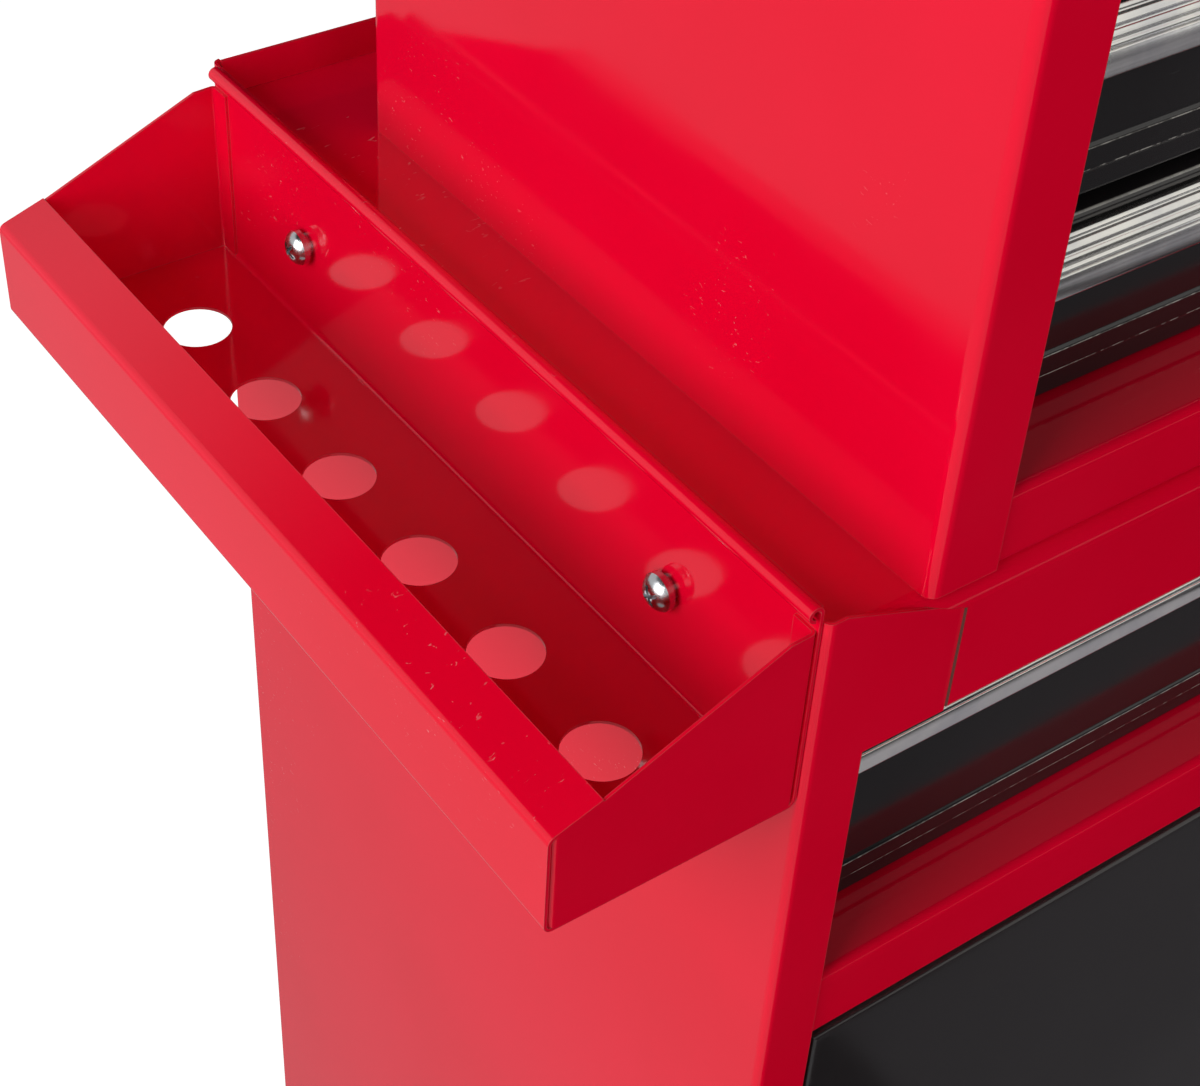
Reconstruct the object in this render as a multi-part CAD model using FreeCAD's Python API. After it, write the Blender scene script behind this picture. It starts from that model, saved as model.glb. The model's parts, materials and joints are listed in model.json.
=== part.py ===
import FreeCAD, Part
import math
import os

V = FreeCAD.Vector

# A rolling tool cabinet in folded sheet steel: a base on casters with one drawer, a door and a side
# tool tray, and a separate drawer chest that stands in the recessed top of the base.
# Millimetres. X runs to the right, Y to the back, Z up. The origin is on the floor, under the middle
# of the whole outline.

# Overall sizes
base_width = 510.0
base_depth = 331.0
base_height = 640.0
chest_inset = 36.0
chest_depth = 284.3
chest_drawer_count = 4
chest_drawer_pitch = 65.0
till_height = 62.0

# Sheet metal
sheet = 1.0
bend = 2.0
lap = 0.3
edge_gap = 1.5

# Base cabinet
deck_drop = 13.0
deck_bend = 6.0
header_drop = 59.6
base_drawer_opening = 101.4
base_rail_height = 29.0
base_ledge = 34.0
post_width = 20.5
gusset_width = 50.5
gusset_start = 1.7
gusset_drop = 21.0
gusset_foot = 61.0
gusset_lap = 8.0
corner_notch = 4.2
corner_notch_width = 7.0
header_bend = 1.0
toe_rail_height = 32.0
rear_flange = 15.0
rear_flange_drop = 8.0
small_return = 9.0

# Drawers
base_drawer_recess = 23.0
base_drawer_top_gap = 15.2
base_drawer_travel = 210.0
chest_drawer_recess = 27.0
chest_drawer_top_gap = 5.6
chest_drawer_travel = 175.0
drawer_floor_gap = 1.0
drawer_side_gap = 1.5
drawer_back_gap = 12.0
front_return = 11.0
ridge_low = 8.2
ridge_high = 15.5
ridge_proud = 0.8
ridge_bend = 0.5
hem_leg = 5.0
hem_bend = 0.3
tub_inset = 6.5
pull_top_drop = 2.2
pull_reach = 8.5
pull_drop = 14.5
pull_lip = 3.9
pull_wall = 1.2
pull_rib_count = 5
pull_rib_height = 0.5
slide_thickness = 10.5
channel_height = 27.0
runner_reach = 5.7
upright_width = 25.0

# Chest
chest_post_width = 24.3
chest_rail_height = 26.0
chest_ledge = 38.0
lid_skirt = 25.0
chest_bend = 3.0
lid_gap = 0.8
lid_lock_rise = 24.0
chest_lift = 60.0

# Lid hinge
hinge_pin_radius = 1.5
hinge_knuckle_radius = 3.0
hinge_leaf_height = 15.0
hinge_knuckles = 7
running_gap = 0.05

# Door
door_gap = 2.0
door_thickness = 18.0
door_lip = 14.0
door_pin_radius = 2.5
door_pin_inset = 10.0
door_pin_back = 8.0
door_pin_head = 4.0
door_lock_inset = 24.0
door_lock_drop = 60.0

# Cam locks
lock_proud = 5.0
lock_flange_radius = 11.5
lock_body_radius = 9.0
lock_plug_radius = 6.5
lock_body_length = 18.0
cam_length = 30.0
lid_cam_length = 17.0
cam_width = 13.0
cam_thickness = 1.6
keeper_gap = 4.0
keeper_width = 10.0

# Shelf
shelf_rise = 190.0
shelf_flange = 14.0
slot_pitch = 32.0
slot_count = 5
slot_width = 10.0
slot_height = 4.0
clip_reach = 14.0
clip_thickness = 1.5

# Side tray
tray_reach = 84.0
tray_wall = 36.0
tray_drop = 72.0
tray_lip = 16.0
tray_lip_rise = 5.4
tray_front_inset = 2.0
tray_back_inset = 4.3
tray_roll_bend = 1.5
tray_roll_drop = 0.2
tray_roll_cut = 3.8
tray_end_top = 6.7
tray_end_level = 8.5
tray_end_fall = 0.5
tray_tab = 9.0
tray_tab_bend = 1.0
tool_hole_radius = 11.75
tool_hole_inset = 34.0
tool_hole_first = 47.0
tool_hole_pitch = 47.8
tool_hole_count = 6
tray_screw_drop = 37.5
tray_screw_places = (63.0, 266.0)
screw_head_radius = 6.0
screw_head_height = 5.0
screw_washer_radius = 4.3
screw_washer_height = 2.0
screw_radius = 2.5
nut_radius = 4.6
nut_height = 4.0

# Push handle
handle_reach = 45.0
handle_tube_radius = 9.5
handle_bend = 28.0
handle_length = 250.0
handle_drop = 72.0
handle_flange_radius = 18.0
handle_flange_thickness = 3.0

# Casters
caster_inset = 45.0
caster_end_inset = 52.0
caster_plate_length = 74.0
caster_plate_width = 56.0
caster_plate_thickness = 2.5
raceway_radius = 24.0
raceway_height = 7.0
kingpin_radius = 5.0
kingpin_head_radius = 8.0
wheel_radius = 37.5
wheel_width = 24.0
wheel_side_gap = 1.0
fork_thickness = 2.5
fork_crown_gap = 8.0
swivel_race_height = 7.2
swivel_trail = 22.0
axle_radius = 4.0
axle_head = 2.0
bolt_radius = 3.0
bolt_across = 5.8
bolt_height = 4.0
brake_width = 22.0
brake_thickness = 2.0
brake_reach = 36.0
brake_set_back = 8.0
brake_rise = 6.0
brake_pin_radius = 2.5
brake_toe = 6.0

# Sizes and places worked out from the sizes above
caster_height = (2 * wheel_radius + fork_crown_gap + swivel_race_height + lap + raceway_height
                 + caster_plate_thickness)
base_drawer_front = base_drawer_opening - base_drawer_top_gap
chest_drawer_front = chest_drawer_pitch - chest_drawer_top_gap
x_left = tray_reach - (base_width + tray_reach + handle_reach) / 2
x_right = x_left + base_width
x_middle = (x_left + x_right) / 2
y_front = lock_proud - (base_depth + lock_proud) / 2
y_back = y_front + base_depth
z_body = caster_height
z_rim = z_body + base_height
z_deck = z_rim - deck_drop
z_header = z_rim - header_drop
z_rail_top = z_header - base_drawer_opening
z_rail_bottom = z_rail_top - base_rail_height
z_toe = z_body + toe_rail_height

inner_left = x_left + sheet + bend
inner_right = x_right - sheet - bend
inner_front = y_front + sheet
inner_back = y_back - 2 * sheet

chest_left = x_left + chest_inset
chest_right = x_right - chest_inset
chest_back = y_front + chest_depth
chest_inner_left = chest_left + sheet + bend
chest_inner_right = chest_right - sheet - bend
z_chest_ledge = z_deck + chest_rail_height
z_chest_header = z_chest_ledge + chest_drawer_count * chest_drawer_pitch + drawer_floor_gap
z_casing_top = z_chest_header + till_height
z_lid_top = z_casing_top + sheet


# Plain helpers

def block(x0, x1, y0, y1, z0, z1):
    """A box between two corners."""
    return Part.makeBox(x1 - x0, y1 - y0, z1 - z0, V(x0, y0, z0))


def rod(start, direction, radius, length):
    """A round bar from a start point along a direction."""
    return Part.makeCylinder(radius, length, start, direction)


def fused(shapes):
    """Several overlapping or touching shapes joined into one, with split faces merged."""
    return shapes[0].multiFuse(shapes[1:]).removeSplitter()


def without(shape, cutters):
    """A shape with other shapes cut out of it."""
    return shape.cut(cutters).removeSplitter()


def mirrored(shape, x):
    """The other hand of a shape, about the plane at x."""
    return shape.mirror(V(x, 0, 0), V(1, 0, 0))


def save(name, shapes):
    """Write one sub-part, made of one solid or several separate ones."""
    solids = []
    for shape in shapes if isinstance(shapes, list) else [shapes]:
        solids.extend(shape.Solids)
    whole = solids[0] if len(solids) == 1 else Part.makeCompound(solids)
    whole.exportStep("parts/" + name + ".step")


def offset_corners(points, distance):
    """The corners of an open path moved to its left by a distance."""
    moved = []
    for i, point in enumerate(points):
        before = points[max(i - 1, 0)]
        after = points[min(i + 1, len(points) - 1)]
        way_in = unit(before, point) if i > 0 else unit(point, after)
        way_out = unit(point, after) if i < len(points) - 1 else way_in
        normal = (-way_in[1] - way_out[1], way_in[0] + way_out[0])
        size = math.hypot(normal[0], normal[1])
        normal = (normal[0] / size, normal[1] / size)
        stretch = distance / (-way_in[1] * normal[0] + way_in[0] * normal[1])
        moved.append((point[0] + normal[0] * stretch, point[1] + normal[1] * stretch))
    return moved


def unit(start, end):
    """The direction from one point of a flat path to another."""
    size = math.hypot(end[0] - start[0], end[1] - start[1])
    return ((end[0] - start[0]) / size, (end[1] - start[1]) / size)


def rounded_run(points, radii, to_space):
    """Edges along an open path, with a tangent arc of the given radius at each inner corner."""
    edges = []
    last = points[0]
    for i in range(1, len(points) - 1):
        way_in = unit(points[i - 1], points[i])
        way_out = unit(points[i], points[i + 1])
        turn = math.atan2(way_in[0] * way_out[1] - way_in[1] * way_out[0],
                          way_in[0] * way_out[0] + way_in[1] * way_out[1])
        reach = radii[i] * math.tan(abs(turn) / 2)
        arc_start = (points[i][0] - way_in[0] * reach, points[i][1] - way_in[1] * reach)
        arc_end = (points[i][0] + way_out[0] * reach, points[i][1] + way_out[1] * reach)
        side = math.copysign(1.0, turn)
        centre = (arc_start[0] - way_in[1] * side * radii[i], arc_start[1] + way_in[0] * side * radii[i])
        bulge = unit(centre, points[i])
        middle = (centre[0] + bulge[0] * radii[i], centre[1] + bulge[1] * radii[i])
        edges.extend(straight(last, arc_start, to_space))
        edges.append(Part.Arc(to_space(arc_start), to_space(middle), to_space(arc_end)).toShape())
        last = arc_end
    edges.extend(straight(last, points[-1], to_space))
    return edges


def straight(start, end, to_space):
    """The line between two points, or nothing where they coincide."""
    if math.hypot(end[0] - start[0], end[1] - start[1]) < 0.001:
        return []
    return [Part.makeLine(to_space(start), to_space(end))]


def bent_sheet(path, plane, start, end, bends=None, thickness=sheet):
    """A folded sheet: an even thickness to the left of a flat path, run straight from start to end.

    The path lies in the plane named by two letters. bends gives the inside radius at each corner
    of the path, or one radius for them all.
    """
    spaces = {
        "XZ": (lambda p: V(p[0], start, p[1]), V(0, end - start, 0)),
        "YZ": (lambda p: V(start, p[0], p[1]), V(end - start, 0, 0)),
        "XY": (lambda p: V(p[0], p[1], start), V(0, 0, end - start)),
    }
    to_space, run = spaces[plane]
    inside = bends if isinstance(bends, list) else [bend if bends is None else bends] * len(path)
    near = []
    far = []
    for i in range(len(path)):
        before = path[max(i - 1, 0)]
        after = path[min(i + 1, len(path) - 1)]
        cross = ((path[i][0] - before[0]) * (after[1] - path[i][1])
                 - (path[i][1] - before[1]) * (after[0] - path[i][0]))
        near.append(inside[i] + thickness if cross > 0 else inside[i])
        far.append(inside[i] if cross > 0 else inside[i] + thickness)
    other = offset_corners(path, thickness)
    edges = rounded_run(path, near, to_space)
    edges.append(Part.makeLine(to_space(path[-1]), to_space(other[-1])))
    edges.extend(rounded_run(other[::-1], far[::-1], to_space))
    edges.append(Part.makeLine(to_space(other[0]), to_space(path[0])))
    face = Part.Face(Part.Wire(Part.__sortEdges__(edges)))
    return face.extrude(run)


def outline(points, plane, start, end):
    """A flat outline with straight sides, run straight from start to end."""
    spaces = {
        "XZ": (lambda p: V(p[0], start, p[1]), V(0, end - start, 0)),
        "YZ": (lambda p: V(start, p[0], p[1]), V(end - start, 0, 0)),
        "XY": (lambda p: V(p[0], p[1], start), V(0, 0, end - start)),
    }
    to_space, run = spaces[plane]
    corners = [to_space(p) for p in points]
    return Part.Face(Part.makePolygon(corners + [corners[0]])).extrude(run)


# Base cabinet panels

def base_left_side():
    """Side panel: a front post flange that widens into a sloping gusset behind the header's end."""
    gusset_end = x_left + gusset_width + gusset_lap
    foot = z_rim - gusset_foot
    path = [(x_left + rear_flange, y_back), (x_left, y_back), (x_left, y_front), (gusset_end, y_front)]
    panel = bent_sheet(path, "XY", z_body, z_rim)
    behind = y_front + sheet + bend
    beside_post = block(x_left + post_width, gusset_end + 1, y_front - 1, behind, z_body - 1, foot)
    over_return = block(x_left + gusset_width, gusset_end + 1, y_front - 1, behind, z_body - 1,
                        z_header + header_bend + 2 * sheet)
    above = gusset_slope() + [(gusset_end + 1, z_rim + 1), (x_left - 1, z_rim + 1)]
    above_gusset = outline(above, "XZ", y_front - 1, behind + sheet)
    above_flange = block(inner_left, x_left + rear_flange + 1, y_back - sheet - 0.1, y_back + 1,
                         z_rim - rear_flange_drop, z_rim + 1)
    return without(panel, [beside_post, over_return, above_gusset, above_flange])


def gusset_slope():
    """The left gusset's top edge, from the notched corner to behind the header's end."""
    fall = (gusset_drop - gusset_start) / gusset_width
    low_end = z_rim - gusset_drop - fall * (gusset_lap + 1)
    return [(x_left - 1, z_rim - corner_notch), (x_left + corner_notch_width, z_rim - corner_notch),
            (x_left + gusset_width + gusset_lap + 1, low_end)]


def tray_screw_holes(radius):
    """Bars through the tray's back wall and the side panel where the tray is screwed on."""
    bars = []
    for place in tray_screw_places:
        start = V(x_left - tray_reach / 4, y_front + place, z_rim - tray_screw_drop)
        bars.append(rod(start, V(1, 0, 0), radius, tray_reach / 2))
    return bars


def base_back():
    """Back panel, flat, welded inside the rear flanges of the side panels."""
    return block(inner_left, inner_right, inner_back, inner_back + sheet, z_body, z_rim)


def base_top():
    """Recessed deck, rolled over at the front into the header, with a return under the header.

    The header lies in front of the gussets, and over them only the rolled part is left.
    """
    face = y_front - sheet
    path = [(inner_back, z_deck), (face, z_deck), (face, z_header), (y_front + base_ledge, z_header)]
    panel = bent_sheet(path, "YZ", x_left + sheet, x_right - sheet, [0, deck_bend, header_bend, 0])
    start, knee, end = gusset_slope()
    fall = (knee[1] - end[1]) / (end[0] - knee[0])
    edge = x_left + gusset_width
    below = [start, knee, (edge, knee[1] - fall * (edge - knee[0])), (edge, z_header - 1), (start[0], z_header - 1)]
    in_front = outline(below, "XZ", face - 1, inner_front)
    corner = [block(x_left, inner_left, face, inner_front + bend, z_header - 1, z_rim),
              block(x_left, inner_left, y_back - sheet - bend, y_back, z_header - 1, z_rim)]
    cutters = [in_front] + corner
    return without(panel, cutters + [mirrored(cutter, x_middle) for cutter in cutters])


def base_rail():
    """Rail between the drawer and the door: a channel whose top is a ledge under the drawer."""
    path = [(inner_front + base_ledge, z_rail_top - small_return), (inner_front + base_ledge, z_rail_top),
            (inner_front, z_rail_top), (inner_front, z_rail_bottom),
            (inner_front + rear_flange, z_rail_bottom)]
    rail = bent_sheet(path, "YZ", inner_left, inner_right)
    pin_hole = rod(V(door_pin_x, door_pin_y, z_rail_bottom - 1), V(0, 0, 1), door_pin_radius + running_gap,
                   sheet + 2)
    return rail.cut(pin_hole)


def base_floor():
    """Bottom pan: a toe rail with a ledge at the front, and an upturned edge at the back."""
    path = [(inner_front + rear_flange, z_toe - small_return), (inner_front + rear_flange, z_toe),
            (inner_front, z_toe), (inner_front, z_body), (inner_back, z_body),
            (inner_back, z_body + rear_flange)]
    pan = bent_sheet(path, "YZ", inner_left, inner_right)
    holes = [rod(V(door_pin_x, door_pin_y, z_toe - 3), V(0, 0, 1), door_pin_radius + running_gap, 5)]
    for x, y in bolt_places():
        holes.append(rod(V(x, y, z_body - 1), V(0, 0, 1), bolt_radius + running_gap, sheet + 2))
    return without(pan, holes)


def upright(x_wall, depth, y, z0, z1):
    """A vertical channel with its open side against the left wall, for slides and shelf clips."""
    path = [(x_wall, y), (x_wall + depth, y), (x_wall + depth, y + upright_width), (x_wall, y + upright_width)]
    return bent_sheet(path, "XY", z0, z1, 1.0)


base_upright_depth = post_width + drawer_side_gap + tub_inset - sheet - slide_thickness
base_upright_places = (y_front + 48.0, y_back - 72.0)


def base_uprights():
    """Two slotted uprights on each side, which carry the drawer slides and the shelf clips."""
    pieces = []
    for y in base_upright_places:
        bar = upright(x_left + sheet, base_upright_depth, y, z_toe, z_deck - sheet)
        slots = []
        for i in range(slot_count):
            z = shelf_z + (i - slot_count // 2) * slot_pitch - clip_thickness - slot_height
            slots.append(block(x_left + sheet + base_upright_depth - 3, x_left + sheet + base_upright_depth + 1,
                               y + (upright_width - slot_width) / 2, y + (upright_width + slot_width) / 2,
                               z, z + slot_height))
        bar = without(bar, slots)
        pieces.extend([bar, mirrored(bar, x_middle)])
    return pieces


# Shelf on clips

shelf_z = z_toe + shelf_rise


def shelf():
    """Shelf: a flat tray turned over, with its edges folded down."""
    x0 = x_left + sheet + base_upright_depth + edge_gap
    x1 = x_right - sheet - base_upright_depth - edge_gap
    y0 = inner_front + door_thickness + cam_width
    y1 = inner_back - edge_gap
    outer = block(x0, x1, y0, y1, shelf_z, shelf_z + shelf_flange)
    long_edges = [e for e in outer.Edges if e.BoundBox.ZMax - e.BoundBox.ZMin < 0.1
                  and e.BoundBox.ZMin > shelf_z + 1]
    outer = outer.makeFillet(bend + sheet, long_edges)
    inner = block(x0 + sheet, x1 - sheet, y0 + sheet, y1 - sheet, shelf_z - 1, shelf_z + shelf_flange - sheet)
    return outer.cut(inner)


def shelf_clips():
    """Four bent clips, each hooked through a slot of an upright, with the shelf resting on them."""
    pieces = []
    web = x_left + sheet + base_upright_depth
    slot_top = shelf_z - clip_thickness
    for y in base_upright_places:
        y0 = y + (upright_width - slot_width) / 2 + lap
        y1 = y0 + slot_width - 2 * lap
        rest = bent_sheet([(web + clip_reach, shelf_z), (web, shelf_z), (web, shelf_z - 3 * slot_height)],
                          "XZ", y0, y1, 0.5, clip_thickness)
        tongue = block(web - sheet - clip_thickness, web + lap, y0, y1,
                       slot_top - slot_height + lap, slot_top - lap)
        hook = block(web - sheet - clip_thickness, web - sheet, y0, y1, slot_top - lap, slot_top + 2)
        clip = fused([rest, tongue, hook])
        pieces.extend([clip, mirrored(clip, x_middle)])
    return pieces


# Door on two pins, with a cam lock

door_left = x_left + post_width + door_gap
door_right = x_right - post_width - door_gap
door_bottom = z_toe + door_gap
door_top = z_rail_bottom - door_gap
door_pin_x = door_left + door_pin_inset
door_pin_y = y_front + door_pin_back
door_lock_x = door_right - door_lock_inset
door_lock_z = door_top - door_lock_drop


def door():
    """Door: a shallow pan with its edges folded back and a lip all round behind."""
    shell = block(door_left, door_right, y_front, y_front + door_thickness, door_bottom, door_top)
    front_edges = [e for e in shell.Edges if e.BoundBox.YMax < y_front + 1]
    shell = shell.makeFillet(bend, front_edges)
    hollow = block(door_left + sheet, door_right - sheet, y_front + sheet, y_front + door_thickness - sheet,
                   door_bottom + sheet, door_top - sheet)
    window = block(door_left + door_lip, door_right - door_lip, y_front + sheet, y_front + door_thickness + 1,
                   door_bottom + door_lip, door_top - door_lip)
    pin_bore = rod(V(door_pin_x, door_pin_y, door_bottom - 1), V(0, 0, 1), door_pin_radius + running_gap,
                   door_top - door_bottom + 2)
    lock_hole = rod(V(door_lock_x, y_front - 1, door_lock_z), V(0, 1, 0), lock_body_radius + running_gap,
                    sheet + 2)
    return without(shell, [hollow, window, pin_bore, lock_hole])


def door_hinge_pins():
    """Two headed pins: one down through the rail into the door, one up through the toe ledge."""
    depth = door_gap + 2 * sheet + 3
    top_head = rod(V(door_pin_x, door_pin_y, z_rail_bottom + sheet), V(0, 0, 1), door_pin_head, 2)
    top_shank = rod(V(door_pin_x, door_pin_y, z_rail_bottom + sheet), V(0, 0, -1), door_pin_radius, depth)
    low_shank = rod(V(door_pin_x, door_pin_y, z_toe - sheet), V(0, 0, 1), door_pin_radius, depth)
    low_head = rod(V(door_pin_x, door_pin_y, z_toe - sheet), V(0, 0, -1), door_pin_head, 2)
    collar = rod(V(door_pin_x, door_pin_y, z_toe), V(0, 0, 1), door_pin_head, door_gap - lap)
    return [fused([top_head, top_shank]), fused([low_shank, low_head, collar])]


def lock_body(x, y_face, z):
    """Fixed part of a cam lock: a flange outside and a threaded barrel with a nut inside."""
    flange = rod(V(x, y_face, z), V(0, -1, 0), lock_flange_radius, lock_proud - 2)
    rim = Part.makeCone(lock_flange_radius, lock_plug_radius + 2, 2, V(x, y_face - lock_proud + 2, z),
                        V(0, -1, 0))
    barrel = rod(V(x, y_face, z), V(0, 1, 0), lock_body_radius, lock_body_length)
    nut = hexagon(V(x, y_face + sheet, z), V(0, 1, 0), lock_flange_radius + 1, 4)
    bore = rod(V(x, y_face - lock_proud - 1, z), V(0, 1, 0), lock_plug_radius + running_gap,
               lock_body_length + lock_proud + 2)
    return fused([flange, rim, barrel, nut]).cut(bore)


def hexagon(start, direction, radius, length):
    """A six-sided bar; radius is to the middle of a flat."""
    corner = radius / math.cos(math.pi / 6)
    points = [V(corner * math.cos(math.radians(60 * i)), corner * math.sin(math.radians(60 * i)), 0)
              for i in range(7)]
    bar = Part.Face(Part.makePolygon(points)).extrude(V(0, 0, length))
    bar.Placement = FreeCAD.Placement(start, FreeCAD.Rotation(V(0, 0, 1), direction))
    return bar


def lock_plug(x, y_face, z, reach, way):
    """Turning part of a cam lock: the keyed plug, with the cam fixed on its inner end."""
    end = y_face + lock_body_length + lap
    plug = rod(V(x, y_face - lock_proud + 1, z), V(0, 1, 0), lock_plug_radius, end - y_face + lock_proud)
    slot = block(x - 0.8, x + 0.8, y_face - lock_proud, y_face - lock_proud + 4, z - 4, z + 4)
    half = cam_width / 2
    cam = fused([rod(V(x, end, z), V(0, 1, 0), half, cam_thickness),
                 block(x, x + reach - half, end, end + cam_thickness, z - half, z + half),
                 rod(V(x + reach - half, end, z), V(0, 1, 0), half, cam_thickness)])
    cam.rotate(V(x, end, z), V(0, 1, 0), way)
    nut = hexagon(V(x, end + cam_thickness, z), V(0, 1, 0), 4.5, 3)
    return fused([plug.cut(slot), cam, nut])


def door_catch():
    """Magnetic catch under the rail: a block that the closed door's lip lies against."""
    x1 = door_lock_x - 30
    y0 = y_front + door_thickness + lap
    body = block(x1 - 46, x1, y0, y0 + 14, z_rail_bottom - 16, z_rail_bottom)
    ear = block(x1 - 52, x1 + 6, inner_front + 3, y0 + 14, z_rail_bottom + sheet, z_rail_bottom + 3)
    neck = block(x1 - 40, x1 - 6, inner_front + rear_flange, y0 + 14, z_rail_bottom - 1, z_rail_bottom + 3)
    return fused([body, ear, neck])


# Drawers, pulls and slides

def drawer(x0, x1, z0, front_height, y_face, y_end):
    """A drawer: a tub with hemmed sides, and a wider front with a ridge along its foot."""
    rim = z0 + front_height - front_return
    hem = 2 * (sheet + hem_bend)
    t0 = x0 + tub_inset
    t1 = x1 - tub_inset
    path = [(t0 + hem, rim - hem_leg), (t0 + hem, rim), (t0, rim), (t0, z0 + sheet), (t1, z0 + sheet),
            (t1, rim), (t1 - hem, rim), (t1 - hem, rim - hem_leg)]
    bends = [0, hem_bend, hem_bend, bend, bend, hem_bend, hem_bend, 0]
    tub = bent_sheet(path, "XZ", y_face + sheet, y_end, bends)
    back = block(t0 + sheet / 2, t1 - sheet / 2, y_end - sheet, y_end, z0 + 2 * sheet, rim - sheet)
    face = [(y_face + front_return, z0 + front_height), (y_face, z0 + front_height),
            (y_face, z0 + ridge_high + ridge_proud), (y_face - ridge_proud, z0 + ridge_high),
            (y_face - ridge_proud, z0 + ridge_low), (y_face, z0 + ridge_low - ridge_proud), (y_face, z0),
            (y_face + front_return, z0)]
    front = bent_sheet(face, "YZ", x0, x1, [0, 1.0, ridge_bend, ridge_bend, ridge_bend, ridge_bend, 0.6, 0])
    cheeks = []
    for x in (x0, x1 - sheet):
        cheeks.append(block(x, x + sheet, y_face + sheet / 2, y_face + front_return,
                            z0 + sheet / 2, z0 + front_height - sheet / 2))
    return fused([front, tub, back] + cheeks)


def pull(x0, x1, z_top, y_face):
    """Extruded trim along the top of a drawer front: fine ribs, a smooth brow and a finger lip."""
    turn = math.atan2(pull_drop - pull_top_drop, pull_reach)
    steps = 2 * pull_rib_count
    points = [(0.0, -pull_top_drop)]
    brow = 4
    for i in range(steps + brow + 1):
        share = i / (steps + brow)
        along = 0.35 + (math.pi / 2 - 0.35) * share
        ring_y = -pull_reach * math.sin(along)
        ring_z = -pull_drop + (pull_drop - pull_top_drop) * math.cos(along) / math.cos(0.35)
        raised = pull_rib_height if i < steps and i % 2 == 1 else 0.0
        points.append((ring_y - raised * math.sin(turn), ring_z + raised * math.cos(turn)))
    points.append((-pull_reach, -pull_drop - pull_lip))
    points.append((-pull_reach + pull_wall, -pull_drop - pull_lip))
    for i in range(5):
        along = math.pi / 2 * (1 - i / 5)
        points.append((-(pull_reach - pull_wall) * math.sin(along) - (pull_wall if i == 4 else 0),
                       -pull_drop + (pull_drop - pull_top_drop - pull_wall) * math.cos(along)))
    points.append((-pull_wall, -pull_top_drop - 3 * pull_wall))
    points.append((-pull_wall, -pull_drop - pull_lip / 2))
    points.append((0.0, -pull_drop - pull_lip / 2))
    placed = [(y_face + p[0], z_top + p[1]) for p in points]
    return outline(placed, "YZ", x0, x1)


def channel(x_web, z, y0, y1):
    """Fixed member of a left-hand slide: a channel open to the right, with its lips turned in."""
    half = channel_height / 2
    deep = slide_thickness - sheet - lap
    path = [(x_web + deep, z - half + 4), (x_web + deep, z - half), (x_web, z - half), (x_web, z + half),
            (x_web + deep, z + half), (x_web + deep, z + half - 4)]
    return bent_sheet(path[::-1], "XZ", y0, y1, 1.2)


def runner(x_web, z, y0, y1):
    """Moving member of a left-hand slide, fixed on the drawer's side and nested in the channel."""
    half = channel_height / 2 - sheet - lap
    neck = half - 4
    x_leg = x_web - runner_reach
    web = block(x_web - sheet, x_web, y0, y1, z - neck, z + neck)
    low = bent_sheet([(x_web, z - neck), (x_leg, z - neck), (x_leg, z - half)], "XZ", y0, y1, 0.8)
    high = bent_sheet([(x_leg, z + half), (x_leg, z + neck), (x_web, z + neck)], "XZ", y0, y1, 0.8)
    return fused([web, low, high])


# Side tray

tray_inside = x_left - lap - sheet
tray_outside = x_left - tray_reach


def side_tray():
    """Folded tool tray: rolled rim, tall back wall, holed floor, low outer wall with a sloping lip."""
    floor_z = z_rim - tray_drop + sheet
    lip_foot = z_rim - tray_wall - sheet
    roll_foot = z_rim - tray_roll_drop - tray_roll_bend
    roll_top = roll_foot + 2 * tray_roll_bend
    path = [(tray_inside - tray_roll_bend, roll_foot), (tray_inside - 2 * tray_roll_bend, roll_foot),
            (tray_inside - 2 * tray_roll_bend, roll_top), (tray_inside, roll_top),
            (tray_inside, floor_z), (tray_outside + sheet, floor_z), (tray_outside + sheet, lip_foot),
            (tray_outside + sheet + tray_lip, lip_foot + tray_lip_rise)]
    bends = [0, tray_roll_bend, tray_roll_bend, tray_roll_bend, bend, bend, bend, 0]
    y0 = y_front + tray_front_inset
    y1 = y_back - tray_back_inset
    trough = bent_sheet(path, "XZ", y0, y1, bends)
    roll_end = block(tray_inside - 3 * sheet - 2 * tray_roll_bend, x_left, y1 - tray_roll_cut, y1 + 1,
                     z_rim - 2 * tray_roll_bend, z_rim + 2 * sheet + tray_roll_bend)
    pieces = [trough.cut(roll_end), tray_end(y0, tray_tab, floor_z), tray_end(y1, -tray_tab, floor_z)]
    holes = tray_screw_holes(screw_radius + running_gap)
    for x, y in tool_hole_centres():
        holes.append(rod(V(x, y, z_rim - tray_drop - 1), V(0, 0, 1), tool_hole_radius, sheet + 3))
    return without(fused(pieces), holes)


def tray_end(y, tab, floor_z):
    """End plate of the tray: a sloping top, and a tab folded in along each long wall."""
    x_out = tray_outside + sheet + lap
    plan = [(x_out, y + tab), (x_out, y), (tray_inside, y), (tray_inside, y + tab)]
    if tab < 0:
        plan = plan[::-1]
    bends = [0, tray_tab_bend, tray_tab_bend, 0]
    plate = bent_sheet(plan, "XY", floor_z - sheet / 2, z_rim - tray_end_top, bends)
    lip_foot = z_rim - tray_wall - sheet
    above = [(tray_inside - tray_end_level, z_rim - tray_end_top - tray_end_fall),
             (tray_outside + tray_lip, lip_foot + tray_lip_rise), (tray_outside, lip_foot),
             (tray_outside, z_rim), (tray_inside + 1, z_rim), (tray_inside + 1, z_rim - tray_end_top)]
    return plate.cut(outline(above, "XZ", y - abs(tab) - 1, y + abs(tab) + 1))


def tool_hole_centres():
    """The row of tool holes along the middle of the tray's floor."""
    x = x_left - tool_hole_inset
    return [(x, y_front + tool_hole_first + tool_hole_pitch * i) for i in range(tool_hole_count)]


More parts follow.
